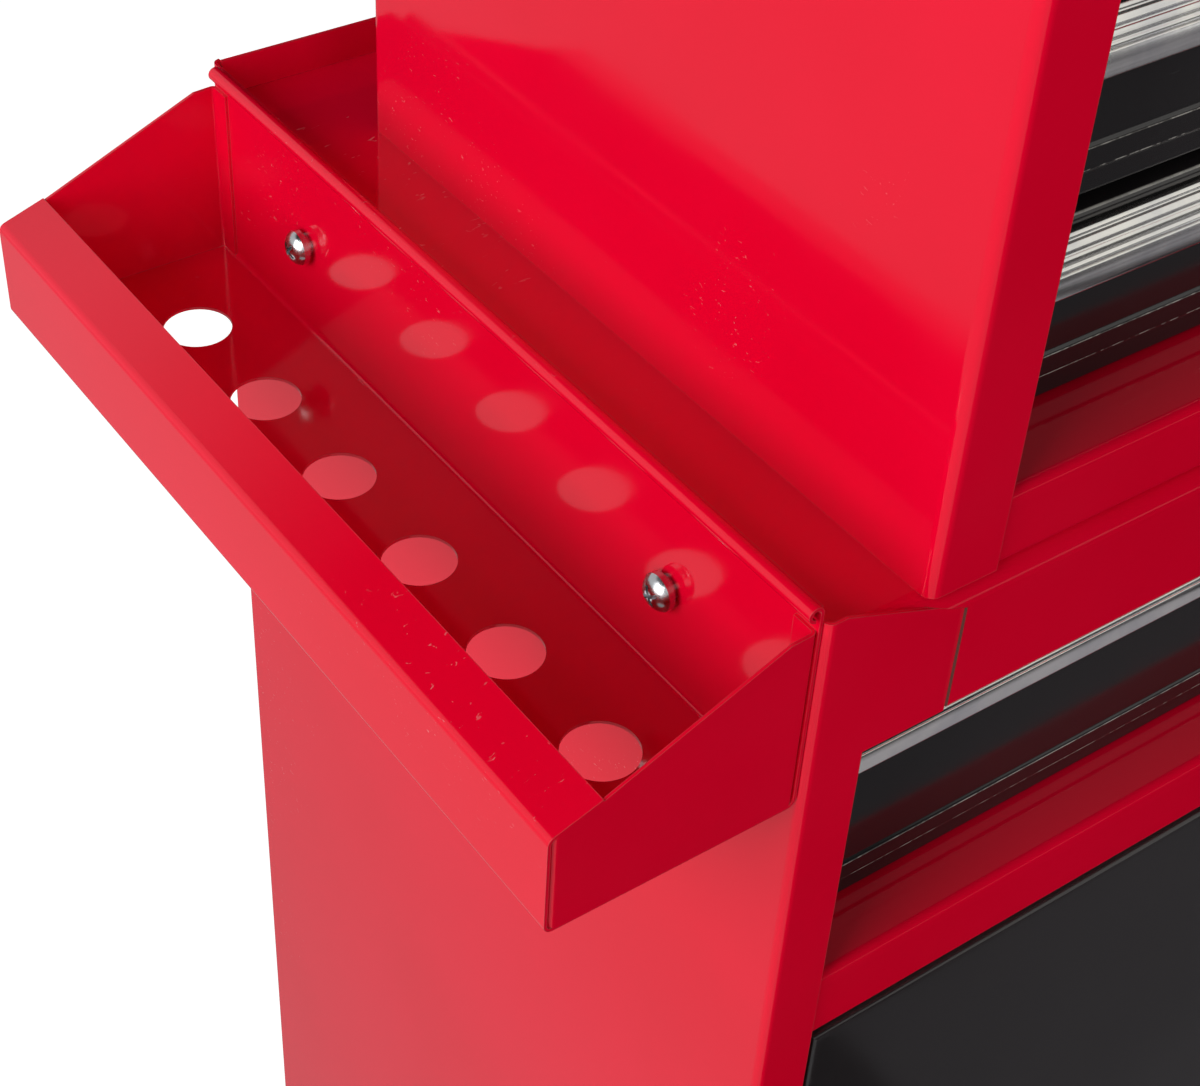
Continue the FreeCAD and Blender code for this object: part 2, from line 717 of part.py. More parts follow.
def tray_screws():
    """Pan-head screws with a cross recess and a washer, through the tray and the side panel."""
    pieces = []
    under = screw_washer_height
    side = under + screw_head_height * 0.4
    top = under + screw_head_height
    for place in tray_screw_places:
        seat = V(tray_inside, y_front + place, z_rim - tray_screw_drop)
        arc = Part.Arc(V(0, 0, top), V(screw_head_radius * 0.62, 0, side + (top - side) * 0.78),
                       V(screw_head_radius, 0, side)).toShape()
        sides = Part.makePolygon([V(screw_head_radius, 0, side), V(screw_head_radius, 0, under),
                                  V(screw_washer_radius, 0, under), V(screw_washer_radius, 0, 0),
                                  V(0, 0, 0), V(0, 0, top)]).Edges
        head = Part.Face(Part.Wire([arc] + sides)).revolve(V(0, 0, 0), V(0, 0, 1), 360)
        for a, b in ((3.2, 0.6), (0.6, 3.2)):
            head = head.cut(block(-a, a, -b, b, top - 1.6, top + 1))
        head.rotate(V(0, 0, 0), V(0, 0, 1), 30 if place == tray_screw_places[0] else 55)
        head.Placement = FreeCAD.Placement(seat, FreeCAD.Rotation(V(0, 0, 1), V(-1, 0, 0))) * head.Placement
        shank = rod(seat, V(1, 0, 0), screw_radius, sheet * 2 + lap + nut_height + 3)
        pieces.append(fused([head, shank]))
    return pieces


def tray_nuts():
    """Nuts on the tray screws, against the inside of the side panel."""
    pieces = []
    for place in tray_screw_places:
        seat = V(x_left + sheet, y_front + place, z_rim - tray_screw_drop)
        nut = hexagon(seat, V(1, 0, 0), nut_radius, nut_height)
        pieces.append(nut.cut(rod(seat, V(1, 0, 0), screw_radius + running_gap, nut_height)))
    return pieces


# Push handle on the right side

handle_y0 = y_front + (base_depth - handle_length) / 2
handle_y1 = handle_y0 + handle_length
handle_z = z_rim - handle_drop


def handle_path():
    """The tube's middle line: out of the side, along it and back in, with round bends."""
    x0 = x_right + handle_flange_thickness
    x1 = x_right + handle_reach - handle_tube_radius
    points = [(x0, handle_y0), (x1, handle_y0), (x1, handle_y1), (x0, handle_y1)]
    return Part.Wire(rounded_run(points, [0, handle_bend, handle_bend, 0], lambda p: V(p[0], p[1], handle_z)))


def push_handle():
    """Bent steel tube, closed at both ends by its flanges."""
    start = V(x_right + handle_flange_thickness, handle_y0, handle_z)
    ring = Part.Wire(Part.makeCircle(handle_tube_radius, start, V(1, 0, 0)))
    return handle_path().makePipeShell([ring], True, False)


def handle_flanges():
    """Round plates that close the tube's ends and are screwed to the side panel."""
    pieces = []
    for y in (handle_y0, handle_y1):
        plate = rod(V(x_right, y, handle_z), V(1, 0, 0), handle_flange_radius, 1.0)
        slope = Part.makeCone(handle_flange_radius, handle_flange_radius - 4, handle_flange_thickness - 1.0,
                              V(x_right + 1.0, y, handle_z), V(1, 0, 0))
        pieces.append(fused([plate, slope]))
    return pieces


# Casters

swivel_x = x_right - caster_inset
fixed_x = x_left + caster_inset
front_caster_y = y_front + caster_end_inset
rear_caster_y = y_back - caster_end_inset
fork_half = wheel_width / 2 + wheel_side_gap
crown_z = wheel_radius * 2 + fork_crown_gap
brake_pivot_x = swivel_x + swivel_trail + brake_set_back
brake_pivot_z = wheel_radius * 2 + brake_rise


def bolt_places():
    """The four bolts of each caster's plate."""
    places = []
    for x in (fixed_x, swivel_x):
        for y in (front_caster_y, rear_caster_y):
            for sx in (-1, 1):
                for sy in (-1, 1):
                    places.append((x + sx * (caster_plate_length / 2 - 9), y + sy * (caster_plate_width / 2 - 8)))
    return places


def caster_plate(x, y):
    """Mounting plate with rounded corners and its four bolt holes."""
    plate = block(x - caster_plate_length / 2, x + caster_plate_length / 2, y - caster_plate_width / 2,
                  y + caster_plate_width / 2, z_body - caster_plate_thickness, z_body)
    upright_edges = [e for e in plate.Edges if e.BoundBox.ZMax - e.BoundBox.ZMin > 1]
    plate = plate.makeFillet(6, upright_edges)
    holes = [rod(V(bx, by, z_body - 5), V(0, 0, 1), bolt_radius + running_gap, 10) for bx, by in bolt_places()]
    return plate.cut(holes)


def swivel_plate(y):
    """Swivel caster's fixed half: the plate, the upper raceway and the kingpin with its head."""
    x = swivel_x
    race_top = z_body - caster_plate_thickness
    race = Part.makeCone(raceway_radius, raceway_radius - 3, raceway_height,
                         V(x, y, race_top - raceway_height), V(0, 0, 1))
    pin_length = race_top - crown_z + fork_thickness + lap + 3
    pin = rod(V(x, y, race_top), V(0, 0, -1), kingpin_radius, pin_length)
    head = rod(V(x, y, crown_z - fork_thickness - lap - 3), V(0, 0, 1), kingpin_head_radius, 3)
    return fused([caster_plate(x, y), race, pin, head])


def caster_bolts():
    """Hexagon bolts up through the caster plates and the bottom pan, with their nuts inside."""
    pieces = []
    for x, y in bolt_places():
        low = z_body - caster_plate_thickness
        head = hexagon(V(x, y, low), V(0, 0, -1), bolt_across - 0.8, bolt_height)
        shank = rod(V(x, y, low), V(0, 0, 1), bolt_radius, caster_plate_thickness + sheet)
        nut = hexagon(V(x, y, z_body + sheet), V(0, 0, 1), bolt_across - 0.8, bolt_height)
        pieces.append(fused([head, shank, nut]))
    return pieces


def fork_legs(x_crown, x_axle, y, top, brake_hole):
    """Two pressed legs, from a crown down to the axle, rounded at the foot."""
    legs = []
    rear = brake_pivot_x + 6 if brake_hole else x_crown + raceway_radius - 2
    for y0 in (y - fork_half - fork_thickness, y + fork_half):
        web = [(x_crown - raceway_radius + 2, top), (rear, top), (rear, top - 8 if brake_hole else top - 1),
               (x_axle + 11, wheel_radius), (x_axle - 11, wheel_radius)]
        leg = outline(web, "XZ", y0, y0 + fork_thickness)
        foot = rod(V(x_axle, y0, wheel_radius), V(0, 1, 0), 11, fork_thickness)
        holes = [rod(V(x_axle, y0 - 1, wheel_radius), V(0, 1, 0), axle_radius, fork_thickness + 2)]
        if brake_hole:
            holes.append(rod(V(brake_pivot_x, y0 - 1, brake_pivot_z), V(0, 1, 0),
                             brake_pin_radius + running_gap, fork_thickness + 2))
        legs.append(fused([leg, foot]).cut(holes))
    return legs


def swivel_fork(y):
    """Swivel caster's turning half: lower raceway, crown and two legs that trail behind the pin."""
    x = swivel_x
    crown = rod(V(x, y, crown_z - fork_thickness), V(0, 0, 1), raceway_radius - 1, fork_thickness)
    race_gap = z_body - caster_plate_thickness - raceway_height - lap
    race = Part.makeCone(raceway_radius - 3, raceway_radius, race_gap - crown_z, V(x, y, crown_z), V(0, 0, 1))
    hole = rod(V(x, y, crown_z - 10), V(0, 0, 1), kingpin_radius + running_gap, 30)
    bridge = block(x - raceway_radius + 2, x + raceway_radius - 2, y - fork_half - fork_thickness,
                   y + fork_half + fork_thickness, crown_z - fork_thickness, crown_z)
    return fused([crown, race, bridge] + fork_legs(x, x + swivel_trail, y, crown_z, True)).cut(hole)


def fixed_fork(y):
    """Fixed caster: plate and legs in one pressing."""
    x = fixed_x
    top = z_body - caster_plate_thickness
    return fused([caster_plate(x, y)] + fork_legs(x, x, y, top, False))


def wheel(x, y):
    """Moulded wheel: a rounded tread, recessed webs and a hub, bored for the axle."""
    half = wheel_width / 2
    profile = [(axle_radius + running_gap, -half), (12, -half), (12, -half + 4), (wheel_radius - 9, -half + 4),
               (wheel_radius - 7, -half + 1), (wheel_radius - 3, -half + 1), (wheel_radius, -half + 5),
               (wheel_radius, half - 5), (wheel_radius - 3, half - 1), (wheel_radius - 7, half - 1),
               (wheel_radius - 9, half - 4), (12, half - 4), (12, half), (axle_radius + running_gap, half)]
    corners = [V(r, a, 0) for r, a in profile]
    section = Part.Face(Part.makePolygon(corners + [corners[0]]))
    body = section.revolve(V(0, 0, 0), V(0, 1, 0), 360)
    body.translate(V(x, y, wheel_radius))
    return body


def axle(x, y):
    """Riveted axle across the fork's legs."""
    reach = fork_half + fork_thickness
    bar = rod(V(x, y - reach, wheel_radius), V(0, 1, 0), axle_radius, 2 * reach)
    heads = [rod(V(x, y - reach, wheel_radius), V(0, -1, 0), axle_radius + 2.5, axle_head),
             rod(V(x, y + reach, wheel_radius), V(0, 1, 0), axle_radius + 2.5, axle_head)]
    return fused([bar] + heads)


def brake(y):
    """Foot brake: a pressed pedal with a toe over the tread, on a pin between the fork's legs."""
    half = fork_half - lap
    barrel = rod(V(brake_pivot_x, y - half, brake_pivot_z), V(0, 1, 0), brake_pin_radius + 1, 2 * half)
    pin = rod(V(brake_pivot_x, y - fork_half - fork_thickness, brake_pivot_z), V(0, 1, 0), brake_pin_radius,
              2 * (fork_half + fork_thickness))
    x = brake_pivot_x
    z = brake_pivot_z
    tail = bent_sheet([(x + brake_reach, z - 7), (x + brake_reach - 11, z + 1), (x, z + 1)], "XZ",
                      y - brake_width / 2, y + brake_width / 2, 2.0, brake_thickness)
    toe = outline([(x + 1, z), (x + 3, z), (x + 3.5, z - brake_toe + 0.6), (x + 1.5, z - brake_toe + 0.1)], "XZ",
                  y - brake_width / 2, y + brake_width / 2)
    return fused([barrel, pin, tail, toe])


# Chest

lid_lock_z = z_chest_header + lid_lock_rise


def chest_casing():
    """Chest wrapper: back and two sides in one sheet, with a post folded in at each front corner."""
    path = [(chest_right - chest_post_width, y_front), (chest_right, y_front), (chest_right, chest_back),
            (chest_left, chest_back), (chest_left, y_front), (chest_left + chest_post_width, y_front)]
    bends = [0, chest_bend, chest_bend, chest_bend, chest_bend, 0]
    return bent_sheet(path, "XY", z_deck, z_casing_top, bends)


def chest_floor():
    """Chest bottom: the pan, the front rail and the ledge under the lowest drawer, in one sheet."""
    rear = chest_back - sheet - lap
    path = [(inner_front + chest_ledge, z_chest_ledge - small_return), (inner_front + chest_ledge, z_chest_ledge),
            (inner_front, z_chest_ledge), (inner_front, z_deck), (rear, z_deck), (rear, z_deck + rear_flange)]
    return without(bent_sheet(path, "YZ", chest_inner_left, chest_inner_right), behind_post_bends())


def behind_post_bends():
    """Cutters at the two front corners, where a panel would run into the round of the posts' bends."""
    notch = block(chest_inner_left - 1, chest_left + sheet + chest_bend, y_front, inner_front + sheet + bend,
                  z_deck - 1, z_casing_top + 1)
    return [notch, mirrored(notch, x_middle)]


def chest_header():
    """Front of the top compartment, with a return above the upper drawer."""
    path = [(inner_front + small_return, z_casing_top), (inner_front, z_casing_top),
            (inner_front, z_chest_header), (inner_front + chest_ledge, z_chest_header)]
    panel = bent_sheet(path, "YZ", chest_inner_left, chest_inner_right)
    hole = rod(V(x_middle, y_front, lid_lock_z), V(0, 1, 0), lock_body_radius + running_gap, 3)
    return without(panel, [hole] + behind_post_bends())


def chest_till():
    """Floor of the top compartment, with its front and back edges turned up."""
    front = inner_front + sheet
    rear = chest_back - sheet - lap
    z = z_chest_header + sheet
    path = [(front, z + small_return), (front, z), (rear, z), (rear, z + small_return)]
    return bent_sheet(path, "YZ", chest_inner_left, chest_inner_right)


chest_upright_depth = chest_post_width + drawer_side_gap + tub_inset - sheet - slide_thickness
chest_upright_places = (y_front + 50.0, chest_back - 60.0)


def chest_uprights():
    """Two uprights on each side of the chest, which carry the drawer slides."""
    pieces = []
    for y in chest_upright_places:
        bar = upright(chest_left + sheet, chest_upright_depth, y, z_deck + sheet, z_chest_header + sheet)
        pieces.extend([bar, mirrored(bar, x_middle)])
    return pieces


def lid():
    """Lid: a plate with a skirt all round, which closes over the outside of the casing, and its keeper."""
    grow = lid_gap + sheet
    z0 = z_lid_top - lid_skirt
    outer = block(chest_left - grow, chest_right + grow, y_front - grow, chest_back + grow, z0, z_lid_top)
    rounded = [e for e in outer.Edges if e.BoundBox.ZMax > z_lid_top - 0.1]
    outer = outer.makeFillet(bend + sheet, rounded)
    inner = block(chest_left - lid_gap, chest_right + lid_gap, y_front - lid_gap, chest_back + lid_gap,
                  z0 - 1, z_lid_top - sheet)
    top_edges = [e for e in inner.Edges if e.BoundBox.ZMax > z_lid_top - sheet - 0.1]
    return [outer.cut(inner.makeFillet(lid_gap, top_edges)), lid_keeper()]


def lid_keeper():
    """Bent tab welded under the lid; its foot lies below the lock's cam when that is turned."""
    x0 = x_middle + lock_body_radius + edge_gap
    y_cam = inner_front + lock_body_length + lap
    foot = lid_lock_z - cam_width / 2 - edge_gap
    strap = y_cam + cam_thickness + keeper_gap
    path = [(strap, z_lid_top - sheet), (strap, foot), (y_cam - 2, foot)]
    return bent_sheet(path, "YZ", x0, x0 + keeper_width)


hinge_y = chest_back + sheet + hinge_knuckle_radius + lap
hinge_z = z_lid_top - lid_skirt - hinge_knuckle_radius - 2 * lap
hinge_step = (chest_inner_right - chest_inner_left) / hinge_knuckles


def hinge_knuckle(index):
    """One rolled knuckle of the lid's long hinge, bored for the pin."""
    x0 = chest_inner_left + index * hinge_step + lap / 2
    length = hinge_step - lap
    barrel = rod(V(x0, hinge_y, hinge_z), V(1, 0, 0), hinge_knuckle_radius, length)
    bore = rod(V(x0 - 1, hinge_y, hinge_z), V(1, 0, 0), hinge_pin_radius + running_gap, length + 2)
    return barrel, bore, x0, x0 + length


def lid_hinge_fixed_leaf():
    """Lower leaf on the chest's back, with every second knuckle."""
    leaf = block(chest_inner_left, chest_inner_right, chest_back, chest_back + sheet,
                 hinge_z - hinge_leaf_height, hinge_z - hinge_knuckle_radius + 1)
    pieces = [leaf]
    bores = []
    for index in range(0, hinge_knuckles, 2):
        barrel, bore, x0, x1 = hinge_knuckle(index)
        pieces.append(barrel)
        pieces.append(block(x0, x1, chest_back, hinge_y, hinge_z - hinge_knuckle_radius,
                            hinge_z - hinge_knuckle_radius + sheet))
        bores.append(bore)
    return fused(pieces).cut(bores)


def lid_hinge_lid_leaf():
    """Upper leaf on the lid's back skirt, with the other knuckles."""
    y0 = chest_back + lid_gap + sheet
    leaf = block(chest_inner_left, chest_inner_right, y0, y0 + sheet, z_lid_top - lid_skirt,
                 z_lid_top - lid_skirt + hinge_leaf_height)
    pieces = [leaf]
    bores = []
    for index in range(1, hinge_knuckles, 2):
        barrel, bore, x0, x1 = hinge_knuckle(index)
        pieces.append(barrel)
        pieces.append(block(x0, x1, y0, y0 + sheet, hinge_z, z_lid_top - lid_skirt + 1))
        bores.append(bore)
    return fused(pieces).cut(bores)


def lid_hinge_pin():
    """The long pin through every knuckle."""
    return rod(V(chest_inner_left, hinge_y, hinge_z), V(1, 0, 0), hinge_pin_radius,
               chest_inner_right - chest_inner_left)


# Writing every sub-part

def write_base():
    """Everything fixed in the base cabinet, and what hangs on it."""
    left = base_left_side()
    save("base_left_side", left.cut(tray_screw_holes(screw_radius + running_gap)))
    save("base_right_side", mirrored(left, x_middle))
    save("base_back", base_back())
    save("base_top", base_top())
    save("base_rail", base_rail())
    save("base_floor", base_floor())
    save("base_uprights", base_uprights())
    save("shelf", shelf())
    save("shelf_clips", shelf_clips())
    save("door", door())
    save("door_hinge_pins", door_hinge_pins())
    save("door_lock_body", lock_body(door_lock_x, y_front, door_lock_z))
    save("door_lock_plug", lock_plug(door_lock_x, y_front, door_lock_z, cam_length, 90))
    save("door_catch", door_catch())
    save("side_tray", side_tray())
    save("tray_screws", tray_screws())
    save("tray_nuts", tray_nuts())
    save("push_handle", push_handle())
    save("handle_flanges", handle_flanges())


def write_drawer(name, x0, x1, z0, front_height, recess, y_end, x_wall, upright_depth):
    """One drawer with its pull and its pair of runners; gives back its pair of channels."""
    y_face = y_front + recess
    save(name, drawer(x0, x1, z0, front_height, y_face, y_end))
    save(name + "_pull", pull(x0, x1, z0 + front_height, y_face))
    slide_z = z0 + (front_height - front_return) / 2
    y0 = y_face + front_return + 2
    run = runner(x0 + tub_inset, slide_z, y0, y_end)
    save(name + "_runners", [run, mirrored(run, x_middle)])
    fixed = channel(x_wall + upright_depth, slide_z, y0, y_end + drawer_back_gap / 2)
    return [fixed, mirrored(fixed, x_middle)]


def write_drawers():
    """The base's wide drawer and the chest's stack of drawers."""
    channels = write_drawer("base_drawer", x_left + post_width + drawer_side_gap,
                            x_right - post_width - drawer_side_gap, z_rail_top + drawer_floor_gap,
                            base_drawer_front, base_drawer_recess, inner_back - drawer_back_gap,
                            x_left + sheet, base_upright_depth)
    save("base_drawer_channels", channels)
    channels = []
    for i in range(chest_drawer_count):
        z0 = z_chest_ledge + drawer_floor_gap + i * chest_drawer_pitch
        channels += write_drawer("chest_drawer_%d" % (i + 1), chest_left + chest_post_width + drawer_side_gap,
                                 chest_right - chest_post_width - drawer_side_gap, z0, chest_drawer_front,
                                 chest_drawer_recess, chest_back - sheet - drawer_back_gap,
                                 chest_left + sheet, chest_upright_depth)
    save("chest_drawer_channels", channels)


def write_casters():
    """Two swivel casters with brakes under the handle's end, two fixed ones under the tray's."""
    swivel_axle = swivel_x + swivel_trail
    save("caster_plates", [swivel_plate(front_caster_y), swivel_plate(rear_caster_y)])
    save("caster_bolts", caster_bolts())
    save("fixed_forks", [fixed_fork(front_caster_y), fixed_fork(rear_caster_y)])
    save("fixed_axles", [axle(fixed_x, front_caster_y), axle(fixed_x, rear_caster_y)])
    for name, y in (("front", front_caster_y), ("rear", rear_caster_y)):
        save("swivel_fork_" + name, swivel_fork(y))
        save("swivel_axle_" + name, axle(swivel_axle, y))
        save("swivel_wheel_" + name, wheel(swivel_axle, y))
        save("fixed_wheel_" + name, wheel(fixed_x, y))
        save("brake_" + name, brake(y))


def write_chest():
    """The chest's casing, its top compartment and its hinged lid."""
    save("chest_casing", chest_casing())
    save("chest_floor", chest_floor())
    save("chest_header", chest_header())
    save("chest_till", chest_till())
    save("chest_uprights", chest_uprights())
    save("lid", lid())
    save("lid_hinge_fixed_leaf", [lid_hinge_fixed_leaf(), lid_hinge_pin()])
    save("lid_hinge_lid_leaf", lid_hinge_lid_leaf())
    save("lid_lock_body", lock_body(x_middle, inner_front, lid_lock_z))
    save("lid_lock_plug", lock_plug(x_middle, inner_front, lid_lock_z, lid_cam_length, -90))


os.makedirs("parts", exist_ok=True)
write_base()
write_drawers()
write_casters()
write_chest()
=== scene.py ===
# %% [markdown]
# # A rolling tool cabinet in folded steel
# The cabinet is nearly all painted sheet, so most of this lesson is about paint: how a smooth enamel
# mirrors the room, where it is thin on a cut edge, and which finishes sit beside it (bright extruded
# trim, zinc-plated slides and casters, chrome locks, moulded tyres). The folded sheets come ready
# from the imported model, and the ribbed pulls are worked out here as surfaces.

# %% Load the frame
import json
import math
import bpy
import numpy as np
from mathutils import Matrix, Vector


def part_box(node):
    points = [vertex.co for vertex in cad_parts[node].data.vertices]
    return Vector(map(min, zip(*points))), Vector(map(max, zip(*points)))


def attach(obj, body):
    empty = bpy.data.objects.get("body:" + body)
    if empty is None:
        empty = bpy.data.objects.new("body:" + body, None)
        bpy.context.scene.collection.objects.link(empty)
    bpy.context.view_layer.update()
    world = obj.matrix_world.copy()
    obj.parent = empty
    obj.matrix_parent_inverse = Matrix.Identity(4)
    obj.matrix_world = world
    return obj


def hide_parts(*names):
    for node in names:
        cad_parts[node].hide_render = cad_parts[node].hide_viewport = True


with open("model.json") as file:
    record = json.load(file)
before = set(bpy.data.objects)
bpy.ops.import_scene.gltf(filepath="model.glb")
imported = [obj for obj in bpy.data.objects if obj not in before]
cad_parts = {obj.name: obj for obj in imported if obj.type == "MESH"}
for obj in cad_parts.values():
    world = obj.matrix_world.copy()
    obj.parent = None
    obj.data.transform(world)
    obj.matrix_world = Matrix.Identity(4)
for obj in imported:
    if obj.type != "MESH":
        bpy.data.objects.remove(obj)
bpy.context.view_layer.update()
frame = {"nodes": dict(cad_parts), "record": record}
nodes = frame["nodes"]
body_of = {name: body for body, held in frame["record"]["behaviour"]["bodies"].items() for name in held}

# %% [markdown]
# ## Camera
# The photograph was taken from the front left corner, close, looking down into the side tray. The
# place, the turn, the tilt and the slight roll were found by matching corners of the sheets. A
# camera looks along its own -Z, so its three axes are worked out as unit vectors and set as a matrix.

# %% Camera
CAMERA_PLACE = Vector((-0.5429, -0.4624, 1.1244))
TURN, TILT, ROLL = math.radians(-37.773), math.radians(40.659), math.radians(3.695)
FOCAL_PIXELS, PHOTO_WIDTH = 2259.1, 1200
SENSOR_WIDTH, NEAREST_SEEN = 36.0, 0.02     # millimetres, metres
back = Vector((math.sin(TURN) * math.cos(TILT), -math.cos(TURN) * math.cos(TILT), math.sin(TILT)))
level = (-back).cross(Vector((0, 0, 1))).normalized()
above = level.cross(-back)
camera_x = math.cos(ROLL) * level + math.sin(ROLL) * above
camera_y = math.cos(ROLL) * above - math.sin(ROLL) * level
camera_data = bpy.data.cameras.new("camera")
camera_data.sensor_width = SENSOR_WIDTH
camera_data.lens = camera_data.sensor_width * FOCAL_PIXELS / PHOTO_WIDTH
camera_data.clip_start = NEAREST_SEEN
camera = bpy.data.objects.new("camera", camera_data)
bpy.context.scene.collection.objects.link(camera)
turned = Matrix((camera_x, camera_y, back)).transposed().to_4x4()
camera.matrix_world = Matrix.Translation(CAMERA_PLACE) @ turned
bpy.context.scene.camera = camera
print("lens", round(camera_data.lens, 1), "mm")

# %% [markdown]
# ## Small helpers for shader nodes
# A material here is a short list of nodes. The first helper fills a socket, where a value may be a
# number, a colour or another node's output, and the second adds a node and fills its sockets. The
# others each add one node that the finishes use often, and give back its output.

# %% Helpers for shader nodes
def put(socket, value):
    """Link an output to a socket, or write a plain value into it."""
    if isinstance(value, bpy.types.NodeSocket):
        socket.id_data.links.new(value, socket)
    else:
        socket.default_value = value


def add(tree, kind, sockets=None, **settings):
    """Add a node, set its settings, and fill the sockets named or numbered in a dictionary."""
    node = tree.nodes.new("ShaderNode" + kind)
    for name, value in settings.items():
        setattr(node, name, value)
    for key, value in (sockets or {}).items():
        put(node.inputs[key], value)
    return node


def math_node(tree, operation, first, second=0.0):
    """One sum on two values."""
    return add(tree, "Math", {0: first, 1: second}, operation=operation).outputs[0]


def dot(tree, first, second):
    """How far two directions agree: the sum of products of their parts, from -1 to 1."""
    return add(tree, "VectorMath", {0: first, 1: second}, operation="DOT_PRODUCT").outputs["Value"]


def ramp(tree, value, low, high, to_low=0.0, to_high=1.0):
    """Map a value from one range onto another, smoothly and without going past the ends."""
    return add(tree, "MapRange", {0: value, 1: low, 2: high, 3: to_low, 4: to_high},
               interpolation_type="SMOOTHSTEP").outputs[0]


def mix_colour(tree, share, first, second):
    """Blend two colours by a share from 0 to 1; sockets 6 and 7 are the node's two colours."""
    return add(tree, "Mix", {0: share, 6: first, 7: second}, data_type="RGBA").outputs[2]


def noise(tree, place, scale, detail=2.0, roughness=0.5, distortion=0.0):
    """Soft random lumps; scale counts lumps in a metre."""
    return add(tree, "TexNoise", {"Vector": place, "Scale": scale, "Detail": detail,
                                  "Roughness": roughness, "Distortion": distortion}).outputs[0]


def stretched(tree, place, x, y, z):
    """Squeeze or stretch a place before a pattern reads it."""
    return add(tree, "Mapping", {"Vector": place, "Scale": (x, y, z)}).outputs[0]


def bump(tree, height, distance, strength=1.0, normal=None):
    """Turn heights into a tilt of the surface; distance is the height of a full step in metres."""
    node = add(tree, "Bump", {"Height": height, "Distance": distance, "Strength": strength})
    if normal is not None:
        put(node.inputs["Normal"], normal)
    return node.outputs[0]


made = (put, add, math_node, dot, ramp, mix_colour, noise, stretched, bump)
print("helpers:", ", ".join(helper.__name__ for helper in made))

# %% [markdown]
# Two more helpers start a finish: one turns a colour as a picture holds it into the light values that
# shaders use, and one makes a material. Patterns read Object coordinates, which are metres here.

# %% Helpers for materials
def srgb(red, green, blue):
    """Light values from 0 to 255: v / 12.92 in the darkest part, else ((v + 0.055) / 1.055)^2.4."""
    values = np.array([red, green, blue]) / 255.0
    linear = np.where(values <= 0.04045, values / 12.92, ((values + 0.055) / 1.055) ** 2.4)
    return (*linear.tolist(), 1.0)


def new_material(name):
    """A fresh material: gives back the material, its tree, its main shader and Object coordinates."""
    material = bpy.data.materials.new(name)
    material.use_nodes = True
    tree = material.node_tree
    shader = tree.nodes["Principled BSDF"]
    place = add(tree, "TexCoord").outputs["Object"]
    return material, tree, shader, place


print("middle grey as light:", round(srgb(128, 128, 128)[0], 3))

# %% [markdown]
# ## Wear on enamel
# On a cut edge the paint is thin, so a Bevel node, which gives a rounded normal near a corner, is
# compared with the true normal: where the two differ there is an edge, and a little of the steel's
# grey-brown comes through. On the drawers the pressed ridges stand proud and wear first, so a thin
# broken light line follows each one: bare steel, and also a painted highlight for the glint on the
# ridges' bends. Scuffs are short strokes gathered in a few areas.

# %% Wear on enamel
EDGE_ROUND, EDGE_SAMPLES = 0.0006, 4        # radius of the rounded normal in metres
LINE_FULL_HALF_WIDTH, LINE_GONE_HALF_WIDTH = 0.00008, 0.00026            # the light line's half-width, full and gone, in metres
FRONT_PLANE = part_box("base_drawer")[0][1] + 0.006     # just behind the drawers' fronts
FRONT_FADE, LINE_SHARE = 0.001, 0.75        # metres, and how strongly the light line of worn steel and painted highlight shows
STROKES = (150.0, 420.0, 900.0)             # strokes in a metre along x, y and z
DASHES = (170.0, 60.0, 60.0)                # gaps in the light line, likewise
PATCHES, AREAS = 260.0, 9.0                 # lumps in a metre, for worn edges and scuffed areas


def edge_wear(tree, place, facing, share):
    """Thin paint: share x (how far the rounded normal leaves the true one) x noise."""
    rounded = add(tree, "Bevel", {"Radius": EDGE_ROUND}, samples=EDGE_SAMPLES).outputs[0]
    edge = ramp(tree, dot(tree, rounded, facing), 0.985, 0.86, 0.0, share)
    patchy = ramp(tree, noise(tree, place, PATCHES, 3.0), 0.3, 0.65, 0.5, 1.0)
    return math_node(tree, "MULTIPLY", edge, patchy)


def ridge_wear_and_highlight(tree, place, height, bottom, step, dashed):
    """A light line, worn paint and painted highlight: 1 where ((z - bottom) mod step) is near height,
    on the fronts, broken by noise.

    dashed says how much of the line is lost in its gaps, from 0 to 1.
    """
    along = add(tree, "SeparateXYZ", {0: place}).outputs
    risen = math_node(tree, "MODULO", math_node(tree, "SUBTRACT", along[2], bottom), step)
    away = math_node(tree, "ABSOLUTE", math_node(tree, "SUBTRACT", risen, height))
    band = ramp(tree, away, LINE_FULL_HALF_WIDTH, LINE_GONE_HALF_WIDTH, 1.0, 0.0)
    gaps = noise(tree, stretched(tree, place, *DASHES), 1.0, 4.0, 0.75)
    broken = ramp(tree, gaps, 0.42, 0.60, 1.0 - dashed)
    front = ramp(tree, along[1], FRONT_PLANE, FRONT_PLANE + FRONT_FADE, 1.0, 0.0)
    line = math_node(tree, "MULTIPLY", band, broken)
    return math_node(tree, "MULTIPLY", line, math_node(tree, "MULTIPLY", front, LINE_SHARE))


def scuffs(tree, place):
    """Short strokes, a stretched noise, times the areas that hold them, a slow noise."""
    strokes = ramp(tree, noise(tree, stretched(tree, place, *STROKES), 1.0, 2.0, 0.6, 0.8), 0.67, 0.74)
    areas = ramp(tree, noise(tree, place, AREAS, 2.0), 0.56, 0.68, 0.0, 0.5)
    return math_node(tree, "MULTIPLY", strokes, areas)


print("front plane at y =", round(FRONT_PLANE, 4), "m")

# %% [markdown]
# ## Enamel
# Powder coat and enamel level out while they bake, so the surface mirrors its surroundings, but not
# perfectly: there is a fine "orange peel" of lumps about 2 mm across, and a long slow wave from the
# folding of the sheet. Both are heights for a Bump node. The colour drifts between two close ones,
# and smudges and specks change the roughness a little.

